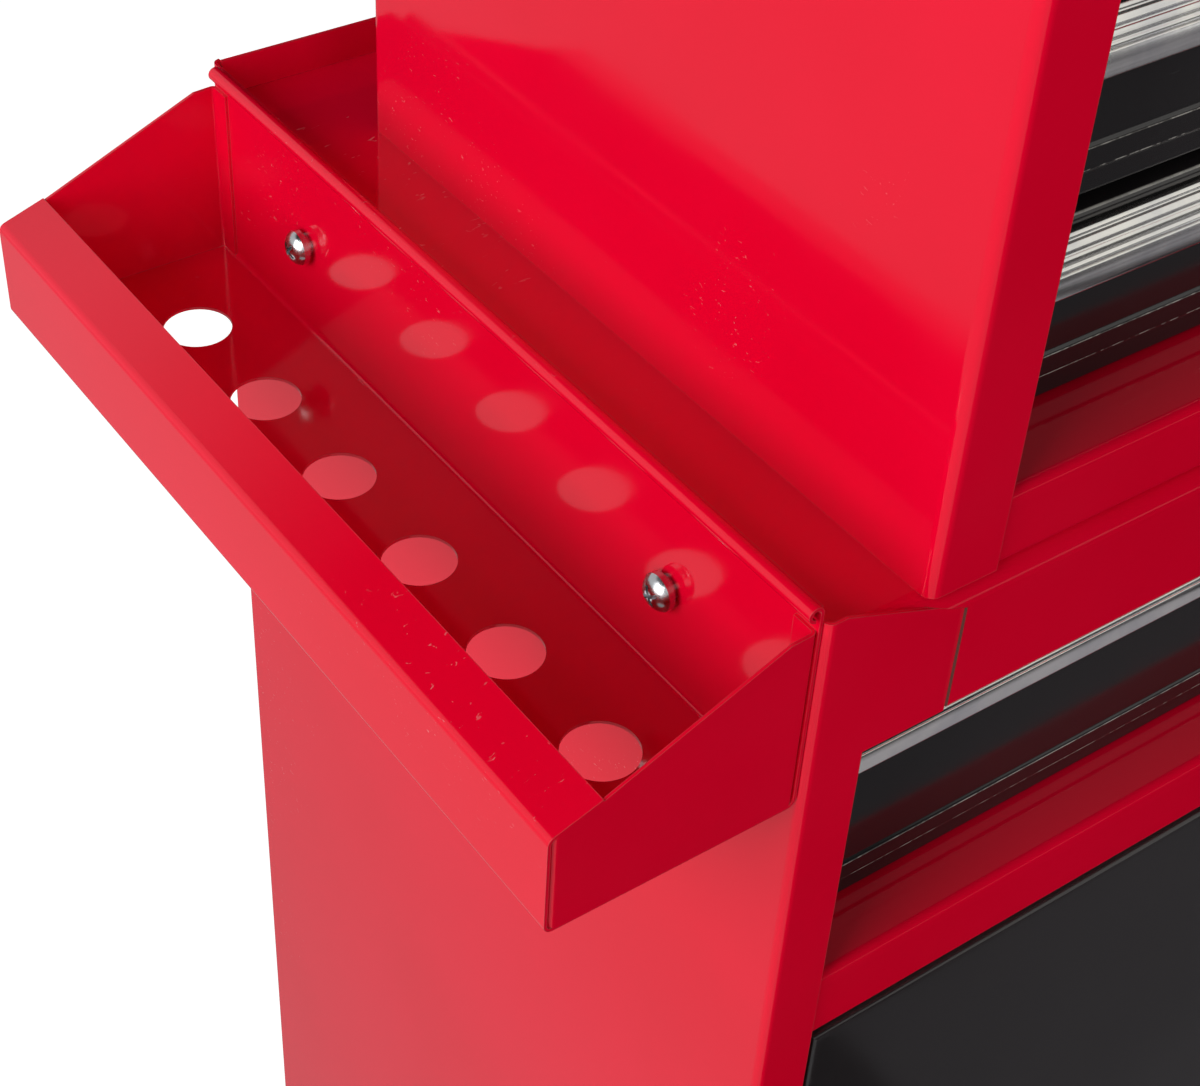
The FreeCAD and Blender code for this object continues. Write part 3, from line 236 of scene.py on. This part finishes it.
# %% Enamel
CLOUDS, SMUDGES, SPECKS = 5.0, 22.0, 1400.0                  # lumps in a metre
WAVES, WAVE_HEIGHT, WAVE_STRENGTH = 14.0, 0.0004, 0.35       # lumps in a metre, metres, share
PEEL_LUMPS, PEEL_HEIGHT = 520.0, 0.00002
SCUFF_PAINT, SCUFF_GREY = 0.6, 0.25         # a scuff's colour: a share of the paint's, and grey
# The light colour of the drawers' ridge lines: bare steel where paint is worn, and a painted highlight.
BARE_STEEL_AND_HIGHLIGHT = srgb(184, 180, 172)
PAINT_IOR, BARE_ROUGHNESS = 1.5, 0.5


def smudged(tree, place, gloss):
    """Roughness: gloss, plus smudges a few centimetres wide, plus fine specks."""
    smudge = ramp(tree, noise(tree, place, SMUDGES, 4.0, 0.6), 0.35, 0.75, 0.0, 0.05)
    speck = ramp(tree, noise(tree, place, SPECKS, 2.0), 0.25, 0.8, -0.01, 0.015)
    return math_node(tree, "ADD", math_node(tree, "ADD", smudge, gloss), speck)


def orange_peel(tree, place, peel):
    """Fine lumps on slow waves: one bump's tilt is handed on to the next."""
    slow = bump(tree, noise(tree, place, WAVES, 1.0), WAVE_HEIGHT, WAVE_STRENGTH)
    return bump(tree, noise(tree, place, PEEL_LUMPS, 2.0), PEEL_HEIGHT, peel, slow)


def enamel(name, colour, deep, edge_colour, gloss, peel, edge_share, ridges=(), pitch=(), cut=None):
    """Baked paint on sheet steel: two close colours, thin edges, scuffs, smudges and orange peel.

    ridges holds pairs of a light line's height and how dashed it is, the line being worn paint and a
    painted highlight; pitch is a drawer's bottom and the step from drawer to drawer, and cut is the
    direction that a raw cut end faces.
    """
    material, tree, shader, place = new_material(name)
    facing = add(tree, "NewGeometry").outputs["Normal"]
    cloud = ramp(tree, noise(tree, place, CLOUDS, 3.0), 0.35, 0.7)
    paint = mix_colour(tree, cloud, colour, deep)
    painted = mix_colour(tree, edge_wear(tree, place, facing, edge_share), paint, edge_colour)
    # Each ridge gets one light line that paints worn steel and a highlight together.
    for height, dashed in ridges:
        ridge_line = ridge_wear_and_highlight(tree, place, height, *pitch, dashed)
        painted = mix_colour(tree, ridge_line, painted, BARE_STEEL_AND_HIGHLIGHT)
    if cut:
        bare = ramp(tree, dot(tree, facing, cut), 0.6, 0.8)
        painted = mix_colour(tree, bare, painted, edge_colour)
        gloss = ramp(tree, bare, 0.0, 1.0, gloss, BARE_ROUGHNESS)
    scuff_colour = tuple(SCUFF_PAINT * part + SCUFF_GREY for part in colour[:3]) + (1.0,)
    painted = mix_colour(tree, scuffs(tree, place), painted, scuff_colour)
    put(shader.inputs["Base Color"], painted)
    put(shader.inputs["Roughness"], smudged(tree, place, gloss))
    put(shader.inputs["Normal"], orange_peel(tree, place, peel))
    shader.inputs["IOR"].default_value = PAINT_IOR
    return material


RED, DEEP_RED = srgb(222, 2, 44), srgb(214, 0, 38)
LEFTWARD = (-1.0, 0.0, 0.0)
red_enamel = enamel("red_enamel_paint", RED, DEEP_RED, srgb(158, 72, 74),
                    gloss=0.07, peel=0.35, edge_share=0.7)
header_enamel = enamel("header_enamel", RED, DEEP_RED, srgb(84, 52, 46),
                       gloss=0.07, peel=0.35, edge_share=0.85, cut=LEFTWARD)
black_enamel = enamel("black_enamel_paint", srgb(37, 34, 35), srgb(31, 28, 29), srgb(74, 70, 68),
                      gloss=0.12, peel=0.45, edge_share=0.5)
print("enamels:", red_enamel.name, header_enamel.name, black_enamel.name)

# %% [markdown]
# ## Enamel on the drawers
# The fronts are the darkest black, and each has two ridges and a top edge that carry a thin light line:
# worn paint, and a painted highlight where the bends would catch the light. The chest's drawers are
# alike and evenly spaced, so one material serves them all: the height above a drawer's bottom is the
# remainder after the step. The base drawer stands alone, so its step is longer than it is.

# %% Enamel on the drawers
# The light edge colour also lightens the ridges' tight bends: thin paint, and partly a painted highlight.
DRAWER_BLACK = dict(colour=srgb(33, 30, 31), deep=srgb(27, 25, 26), edge_colour=srgb(120, 116, 112),
                    gloss=0.10, peel=0.35, edge_share=0.7)
RIDGES = ((0.0086, 1.0), (0.0151, 0.8))     # height above the drawer's bottom, how dashed
# The top edge's light line is mostly a painted highlight along the top bend, with some worn paint.
TOP_EDGE_INSET, TOP_EDGE_DASHED = 0.0003, 0.3
NO_REPEAT = 1.0


def drawer_enamel(name, drawer, step):
    """Black enamel with light lines, worn paint and painted highlight, on two ridges and the top edge, every
    step.
    """
    low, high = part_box(drawer)
    top_edge = (high[2] - low[2] - TOP_EDGE_INSET, TOP_EDGE_DASHED)
    return enamel(name, **DRAWER_BLACK, ridges=(*RIDGES, top_edge), pitch=(low[2], step))


chest_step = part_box("chest_drawer_2")[0][2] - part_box("chest_drawer_1")[0][2]
chest_drawer_enamel = drawer_enamel("chest_drawer_enamel", "chest_drawer_1", chest_step)
base_drawer_enamel = drawer_enamel("base_drawer_enamel", "base_drawer", NO_REPEAT)
print("step from chest drawer to chest drawer:", round(chest_step, 4), "m")

# %% [markdown]
# ## Bare and plated metals
# The trim is an aluminium extrusion, drawn through a die, so its marks run along its length: a noise
# squeezed across the length gives them. Zinc plate is greyer and cloudy: passivated and a little dusty
# on the slides and casters, so it is only partly metallic there, and bright on new screws. Chrome is
# nearly a mirror.

# %% Bare and plated metals
METAL_CLOUDS = 45.0                         # lumps in a metre


def metal(name, colour, dull, rough, rough_spread, grain_scale, grain_height, metallic=1.0):
    """A bare or plated metal: cloudy colour, and grain that may run along one direction."""
    material, tree, shader, place = new_material(name)
    grain = noise(tree, stretched(tree, place, *grain_scale), 1.0, 3.0)
    cloud = ramp(tree, noise(tree, place, METAL_CLOUDS, 4.0, 0.6), 0.3, 0.72)
    put(shader.inputs["Base Color"], mix_colour(tree, cloud, colour, dull))
    put(shader.inputs["Roughness"], ramp(tree, grain, 0.25, 0.75, rough, rough + rough_spread))
    put(shader.inputs["Normal"], bump(tree, grain, grain_height, 0.5))
    shader.inputs["Metallic"].default_value = metallic
    return material


# Each grain: lumps in a metre along x, y and z, and the height of a lump in metres.
DRAWN = dict(grain_scale=(6.0, 1500.0, 1500.0), grain_height=0.0000012)
PLATED = dict(grain_scale=(240.0, 240.0, 240.0), grain_height=0.000006)
POLISHED = dict(grain_scale=(90.0, 90.0, 90.0), grain_height=0.000002)
trim = metal("trim_extrusion", srgb(228, 226, 222), srgb(206, 205, 206),
             rough=0.14, rough_spread=0.10, **DRAWN)
bright_zinc = metal("bright_zinc", srgb(208, 210, 214), srgb(186, 188, 190),
                    rough=0.16, rough_spread=0.14, **PLATED)
zinc = metal("zinc_plate", srgb(176, 178, 178), srgb(156, 158, 157),
             rough=0.30, rough_spread=0.16, **PLATED, metallic=0.55)
chrome = metal("chrome_plate_bright", srgb(224, 224, 230), srgb(210, 210, 222),
               rough=0.05, rough_spread=0.05, **POLISHED)
print("metals:", trim.name, bright_zinc.name, zinc.name, chrome.name)

# %% [markdown]
# ## Rubber and plastic
# A caster wheel is two mouldings in one: a soft black tyre round a hard grey hub. Both are one node, so
# the finish changes at a radius from the axle. The tyre is matt with a faint bloom, and the magnetic
# catch is a plain moulding.

# %% Rubber and plastic
BLOOM_LUMPS, TYRE_GRAIN = 60.0, 900.0       # lumps in a metre
HUB_ROUGH, TYRE_ROUGH = 0.36, 0.58
HUB_RADIUS, SEAM = 0.0300, 0.0003           # metres


def moulded(name, colour, bloom, rough, grain_scale, grain_height):
    """A moulded material: dark colour with a pale bloom, and a fine even grain."""
    material, tree, shader, place = new_material(name)
    cloud = ramp(tree, noise(tree, place, BLOOM_LUMPS, 4.0, 0.65), 0.4, 0.8)
    put(shader.inputs["Base Color"], mix_colour(tree, cloud, colour, bloom))
    grain = noise(tree, place, grain_scale, 3.0, 0.6)
    put(shader.inputs["Roughness"], ramp(tree, grain, 0.3, 0.7, rough - 0.08, rough + 0.08))
    put(shader.inputs["Normal"], bump(tree, grain, grain_height, 0.6))
    return material


def from_axle(tree, place):
    """Distance from the nearer wheels' axle: root(across^2 + risen^2).

    across = |x - middle| - half, where middle lies between the fixed and the swivel wheels and half
    is half the way from one to the other, and risen = z - the axle's height.
    """
    fixed_low, fixed_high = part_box("fixed_wheel_front")
    swivel_low, swivel_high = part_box("swivel_wheel_front")
    fixed_x, swivel_x = (fixed_low[0] + fixed_high[0]) / 2, (swivel_low[0] + swivel_high[0]) / 2
    axis = add(tree, "SeparateXYZ", {0: place}).outputs
    aside = math_node(tree, "ABSOLUTE", math_node(tree, "SUBTRACT", axis[0], (fixed_x + swivel_x) / 2))
    across = math_node(tree, "SUBTRACT", aside, (swivel_x - fixed_x) / 2)
    risen = math_node(tree, "SUBTRACT", axis[2], (fixed_low[2] + fixed_high[2]) / 2)
    squares = [math_node(tree, "POWER", math_node(tree, "ABSOLUTE", way), 2.0) for way in (across, risen)]
    return math_node(tree, "SQRT", math_node(tree, "ADD", *squares))


def wheel_finish(name, tyre, bloom, hub):
    """Tyre outside HUB_RADIUS from the axle, hub inside it."""
    material, tree, shader, place = new_material(name)
    tyre_share = ramp(tree, from_axle(tree, place), HUB_RADIUS - SEAM, HUB_RADIUS + SEAM)
    cloud = ramp(tree, noise(tree, place, BLOOM_LUMPS, 4.0, 0.65), 0.4, 0.8)
    put(shader.inputs["Base Color"], mix_colour(tree, tyre_share, hub, mix_colour(tree, cloud, tyre, bloom)))
    grain = noise(tree, place, TYRE_GRAIN, 3.0, 0.6)
    matt = ramp(tree, tyre_share, 0.0, 1.0, HUB_ROUGH, TYRE_ROUGH)
    put(shader.inputs["Roughness"], math_node(tree, "ADD", matt, ramp(tree, grain, 0.3, 0.7, -0.06, 0.08)))
    put(shader.inputs["Normal"], bump(tree, grain, 0.00004, 0.6))
    return material


rubber = wheel_finish("tyre_and_hub", srgb(44, 44, 46), srgb(70, 69, 68), srgb(122, 124, 126))
plastic = moulded("catch_plastic", srgb(38, 38, 40), srgb(48, 48, 50),
                  rough=0.42, grain_scale=700.0, grain_height=0.00003)
print("moulded:", rubber.name, plastic.name)

# %% [markdown]
# ## Finish every sub-part
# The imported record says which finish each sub-part has, so the materials are handed out by that list.
# A few have a finish of their own: the header's raw end, the screws, and the rubbed drawer fronts.

# %% Finish every sub-part
FINISHES = {"red_enamel": red_enamel, "black_enamel": black_enamel, "trim_aluminium": trim,
            "zinc_steel": zinc, "chrome_plate": chrome, "wheel_rubber": rubber, "black_plastic": plastic}
CHEST_DRAWERS = [f"chest_drawer_{number}" for number in (1, 2, 3, 4)]
OWN_FINISH = {"base_top": header_enamel, "tray_screws": bright_zinc, "base_drawer": base_drawer_enamel,
              **dict.fromkeys(CHEST_DRAWERS, chest_drawer_enamel)}
for node in nodes.values():
    for held in node.material_slots:
        held.material = FINISHES[held.material.name]
for name, finish in OWN_FINISH.items():
    nodes[name].material_slots[0].material = finish
print("finished", len(nodes), "sub-parts,", len(OWN_FINISH), "with a finish of their own")

# %% [markdown]
# ## Outline of the ribbed trim
# Each drawer is opened by a length of extruded trim along the top of its front. An extrusion has one
# outline all the way along, so the outline is worked out first, as a closed loop of points. The ribs
# are a wave cut into an ellipse: raising a sine to a high power makes narrow grooves between broad
# crests, as a die does.

# %% Outline of the ribbed trim
REACH, DROP, TOP, LIP, WALL = 0.0085, 0.0145, 0.0022, 0.0039, 0.0012     # metres
CRESTS, GROOVE = (0.35, 0.72, 1.01, 1.22, 1.34), 0.0005                  # angles, groove depth
OUTSIDE_POINTS, LIP_POINTS, INSIDE_POINTS = 121, 9, 16


def trim_outline():
    """The trim's closed outline, as forward and up from the top edge of a drawer's face.

    Outside: forward = REACH sin a, up = (DROP - TOP) cos a / cos CRESTS[0] - DROP, less a groove of
    GROOVE sin(pi p)^6 along the ellipse's normal, where p counts the crests passed. Then the straight
    lip with a half round below, and the inside, an ellipse smaller by WALL, back to the flat web.
    """
    a = np.linspace(CRESTS[0], np.pi / 2, OUTSIDE_POINTS)
    high = (DROP - TOP) / np.cos(CRESTS[0])
    passed = np.interp(a, CRESTS, np.arange(len(CRESTS)))
    cut = GROOVE * np.sin(np.pi * passed) ** 6
    facing = np.stack([np.sin(a) / REACH, np.cos(a) / high], axis=1)
    facing /= np.linalg.norm(facing, axis=1, keepdims=True)
    outside = np.stack([REACH * np.sin(a), high * np.cos(a) - DROP], axis=1) - cut[:, None] * facing
    turn = np.linspace(0.0, -np.pi, LIP_POINTS)
    lip_middle = np.array([REACH - WALL / 2, WALL / 2 - DROP - LIP])
    lip = lip_middle + WALL / 2 * np.stack([np.cos(turn), np.sin(turn)], axis=1)
    b = np.linspace(np.pi / 2, CRESTS[0], INSIDE_POINTS)
    inside = np.stack([(REACH - WALL) * np.sin(b), (DROP - TOP - WALL) * np.cos(b) - DROP], axis=1)
    web = [(WALL, -TOP - 3 * WALL), (WALL, -DROP - LIP / 2), (0.0, -DROP - LIP / 2), (0.0, -TOP)]
    return np.concatenate([outside, lip, inside, np.array(web)])


print("outline:", len(trim_outline()), "points")

# %% [markdown]
# ## Ribbed pulls
# The outline is carried from end to end of each pull as rings of points, and faces join one ring to
# the next. At each end the loop is drawn in a little, which gives the small chamfer that keeps a sawn
# end from being sharp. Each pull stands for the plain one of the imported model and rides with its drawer.

# %% Ribbed pulls
SHARP_BEND = 0.6                            # radians
CHAMFER = 0.00015


def mesh_piece(name, verts, faces, material):
    """An object at the origin from arrays of points and faces, smooth except along sharp bends."""
    mesh = bpy.data.meshes.new(name)
    mesh.from_pydata(verts.tolist(), [], faces)
    mesh.polygons.foreach_set("use_smooth", np.ones(len(mesh.polygons), dtype=bool))
    mesh.set_sharp_from_angle(angle=SHARP_BEND)
    mesh.materials.append(material)
    piece = bpy.data.objects.new(name, mesh)
    bpy.context.scene.collection.objects.link(piece)
    return piece


def pull_piece(name):
    """Carry the outline along x through four rings: drawn in, full, full, drawn in; then close both ends.

    A ring is (x, back - forward, top + up) for each point of the outline, less drawn times the
    outline's outward normal, which is its direction turned a quarter.
    """
    low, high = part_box(name)
    loop = trim_outline()
    along = np.roll(loop, -1, axis=0) - np.roll(loop, 1, axis=0)
    outward = np.stack([-along[:, 1], along[:, 0]], axis=1)
    outward /= np.linalg.norm(outward, axis=1, keepdims=True)
    count = len(loop)
    ends = ((low[0], CHAMFER), (low[0] + CHAMFER, 0.0), (high[0] - CHAMFER, 0.0), (high[0], CHAMFER))
    rings = []
    for x, drawn in ends:
        forward, up = (loop - drawn * outward).T
        rings.append(np.stack([np.full(count, x), high[1] - forward, high[2] + TOP + up], axis=1))
    step, here = np.meshgrid(np.arange(len(ends) - 1) * count, np.arange(count), indexing="ij")
    after = (here + 1) % count
    sides = np.stack([step + here, step + after, step + count + after, step + count + here], axis=-1)
    first_end, last_end = range(count - 1, -1, -1), range(3 * count, 4 * count)
    faces = [*sides.reshape(-1, 4).tolist(), list(first_end), list(last_end)]
    piece = mesh_piece(name + "_extrusion", np.concatenate(rings), faces, trim)
    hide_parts(name)
    return piece


pulls = []
for drawer in ("base_drawer", *CHEST_DRAWERS):
    pull = pull_piece(drawer + "_pull")
    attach(pull, body_of[drawer + "_pull"])
    pulls.append(pull)
print("pulls:", len(pulls), "each", len(pulls[0].data.polygons), "faces")

# %% [markdown]
# ## Helpers for the stage
# The stage may look one way to the camera and another in a mirror, because enamel shows what it
# mirrors and the picture wants a clean ground. So a level can depend on the ray that asks for it. The
# stage's own sheets are flat, with one face and an even surface.

# %% Helpers for the stage
def by_ray(tree, for_camera, for_mirror, for_light):
    """A level that depends on the ray: from the camera or through glass, mirrored, or plain light.

    Sockets 2 and 3 of a Mix node are its two plain values, and 0 is the share of the second.
    """
    path = add(tree, "LightPath")
    direct = math_node(tree, "MAXIMUM", path.outputs["Is Camera Ray"], path.outputs["Is Transmission Ray"])
    level = add(tree, "Mix", {0: path.outputs["Is Glossy Ray"], 2: for_light, 3: for_mirror}).outputs[0]
    return add(tree, "Mix", {0: direct, 2: level, 3: for_camera}).outputs[0]


def stage_sheet(name, corners, material):
    """One flat face of the stage, with its corners anticlockwise from above, so that it faces up."""
    mesh = bpy.data.meshes.new(name)
    mesh.from_pydata(corners, [], [list(range(len(corners)))])
    mesh.materials.append(material)
    sheet = bpy.data.objects.new(name, mesh)
    bpy.context.scene.collection.objects.link(sheet)
    return sheet


def plain_surface(shader, grey, rough, specular):
    """Set one even grey, roughness and shine on a shader's own sockets."""
    shader.inputs["Base Color"].default_value = (grey, grey, grey, 1.0)
    shader.inputs["Roughness"].default_value = rough
    shader.inputs["Specular IOR Level"].default_value = specular


print("helpers:", ", ".join(helper.__name__ for helper in (by_ray, stage_sheet, plain_surface)))

# %% [markdown]
# ## Floor
# A white floor stands for a studio's. The camera sees it mostly as its own white glow, with enough lit
# paint left for the cabinet's soft shadow. Mirrors see a grey, and plain light meets ordinary pale
# paint.

# %% Floor
FLOOR_RADIUS, FLOOR_POINTS = 6.0, 64
FLOOR_GLOW, GLOW_SHARE, FLOOR_MIRRORED = 1.56, 0.6, 0.36
floor_material, tree, shader, _ = new_material("studio_floor")
plain_surface(shader, grey=0.86, rough=0.9, specular=0.2)
glow = add(tree, "Emission", {"Strength": by_ray(tree, FLOOR_GLOW, FLOOR_MIRRORED, 0.0)})
glow_share = by_ray(tree, GLOW_SHARE, 1.0, 0.0)
both = add(tree, "MixShader", {0: glow_share, 1: shader.outputs[0], 2: glow.outputs[0]})
put(tree.nodes["Material Output"].inputs["Surface"], both.outputs[0])
# A disc: x = radius cos a, y = radius sin a, z = 0, for a once round.
angles = np.linspace(0.0, 2.0 * np.pi, FLOOR_POINTS, endpoint=False)
disc = [FLOOR_RADIUS * np.cos(angles), FLOOR_RADIUS * np.sin(angles), np.zeros(FLOOR_POINTS)]
floor = stage_sheet("studio_floor", np.stack(disc, axis=1).tolist(), floor_material)
print(floor.name, 2 * FLOOR_RADIUS, "m across")

# %% [markdown]
# ## Room
# The room is white to the camera and gives a low even light. In mirrors it is bright only towards the
# left and not high up: the cabinet's left side then looks paler than its front, and the front's red
# stays deep, because dark surroundings hold an enamel's colour.

# %% Room
ROOM_LEVEL, WALL_MIRRORED = 0.21, 0.66
world = bpy.data.worlds.new("studio_room")
world.use_nodes = True
bpy.context.scene.world = world
room = world.node_tree
background = room.nodes["Background"]
background.inputs["Color"].default_value = (1.0, 1.0, 1.0, 1.0)
way = add(room, "SeparateXYZ", {0: add(room, "TexCoord").outputs["Generated"]}).outputs
not_high = ramp(room, way[2], 0.62, 0.76, 1.0, 0.0)
leftward = ramp(room, way[0], -0.02, 0.22, WALL_MIRRORED, 0.0)
mirrored_room = math_node(room, "MULTIPLY", not_high, leftward)
put(background.inputs["Strength"], by_ray(room, 1.0, mirrored_room, ROOM_LEVEL))
print("room: light", ROOM_LEVEL, "mirrored wall", WALL_MIRRORED)

# %% [markdown]
# ## Lights
# The nearer of two wide soft lights stands on the cabinet's left, and a weaker one in front, further
# off. Their size makes the edges of shadows soft, and their power is set so that paint looks about as
# its colour is written.

# %% Lights
def soft_light(name, place, aim, size, watts):
    """A square soft light that faces a point and shows only as light and as a highlight."""
    data = bpy.data.lights.new(name, "AREA")
    data.shape = "SQUARE"
    data.size = size
    data.energy = watts
    light = bpy.data.objects.new(name, data)
    bpy.context.scene.collection.objects.link(light)
    light.location = place
    light.rotation_mode = "QUATERNION"
    light.rotation_quaternion = (Vector(aim) - Vector(place)).to_track_quat("-Z", "Y")
    light.visible_camera = False
    return light


AIM = (0.0, 0.0, 0.7)
left = soft_light("light_left", (-1.6, -0.25, 1.25), AIM, size=1.2, watts=25.3)
front = soft_light("light_front", (-0.3, -3.0, 1.5), AIM, size=1.8, watts=22.7)
print("lights:", *((light.name, round(light.data.energy, 1)) for light in (left, front)), "W")

# %% [markdown]
# ## Cards
# Polished things show what stands round them. A bright card stands high at the front right, a narrow
# one lower, and grey ones lie near the floor in front, with one behind on the left for the screws. A
# light may be linked to chosen objects, so each card is seen only by the trim, the black fronts, both,
# or the tray's screws. The cards draw the white lines along the ribs and turn the trim's lip grey,
# while the red sheets keep their own surroundings.

# %% Cards for the trim, the fronts and the screws
seen_by = {"trim": pulls, "fronts": [nodes[name] for name in ("base_drawer", *CHEST_DRAWERS, "door")]}
seen_by["both"] = seen_by["trim"] + seen_by["fronts"]
seen_by["screws"] = [nodes["tray_screws"]]
groups = {name: bpy.data.collections.new("lit_by_cards_" + name) for name in seen_by}
for name, pieces in seen_by.items():
    for piece in pieces:
        groups[name].objects.link(piece)
TRIM_MIDDLE, UP = (-0.1, -0.14, 0.9), 1.0
WARM, WHITE, VIOLET, BLUISH = (1.0, 0.985, 0.94), (1.0, 1.0, 1.0), (0.97, 0.94, 1.0), (0.95, 0.96, 1.0)
# Each card: who sees it, its place, the point it faces, its size, its watts and its tint.
CARDS = {"card_high": ("both", (1.22, -0.93, 1.61), TRIM_MIDDLE, 1.5, 6.6, WARM),
         "card_strip": ("trim", (1.25, -1.24, 0.45), TRIM_MIDDLE, 0.3, 0.32, WHITE),
         "card_near": ("trim", (0.38, -0.58, 0.03), (0.38, -0.58, UP), 0.55, 0.34, VIOLET),
         "card_middle": ("trim", (1.06, -1.00, 0.03), (1.06, -1.00, UP), 0.55, 0.26, VIOLET),
         "card_far": ("trim", (1.67, -1.43, 0.03), (1.67, -1.43, UP), 0.75, 0.46, VIOLET),
         "card_screws": ("screws", (-0.78, 0.50, 0.03), (-0.78, 0.50, UP), 0.6, 0.95, BLUISH),
         "card_wide": ("fronts", (1.1, -1.1, 0.03), (1.1, -1.1, UP), 2.0, 1.1, VIOLET)}
for name, (group, place, aim, size, watts, tint) in CARDS.items():
    card = soft_light(name, place, aim, size, watts)
    card.data.color = tint
    card.light_linking.receiver_collection = groups[group]
print("cards:", len(CARDS), "together", round(sum(card[4] for card in CARDS.values()), 1), "W")

# %% [markdown]
# ## Black cloth
# A black cloth lies on the floor at the front and to the right, and shows only in reflections. It
# keeps the pale floor out of the front's red and black.

# %% Black cloth
CLOTH_X, CLOTH_Y, CLOTH_Z = (-0.30, 3.0), (-2.6, -0.24), 0.002
cloth_material, tree, shader, _ = new_material("black_cloth")
plain_surface(shader, grey=0.0, rough=1.0, specular=0.0)
corners = [(CLOTH_X[right], CLOTH_Y[far], CLOTH_Z) for right, far in ((0, 0), (1, 0), (1, 1), (0, 1))]
cloth = stage_sheet("black_cloth", corners, cloth_material)
cloth.visible_camera = cloth.visible_diffuse = cloth.visible_transmission = cloth.visible_shadow = False
print(cloth.name, round(CLOTH_X[1] - CLOTH_X[0], 2), "x", round(CLOTH_Y[1] - CLOTH_Y[0], 2), "m")

# %% [markdown]
# ## View
# The Standard view shows a colour as it is written.

# %% View
bpy.context.scene.view_settings.view_transform = "Standard"
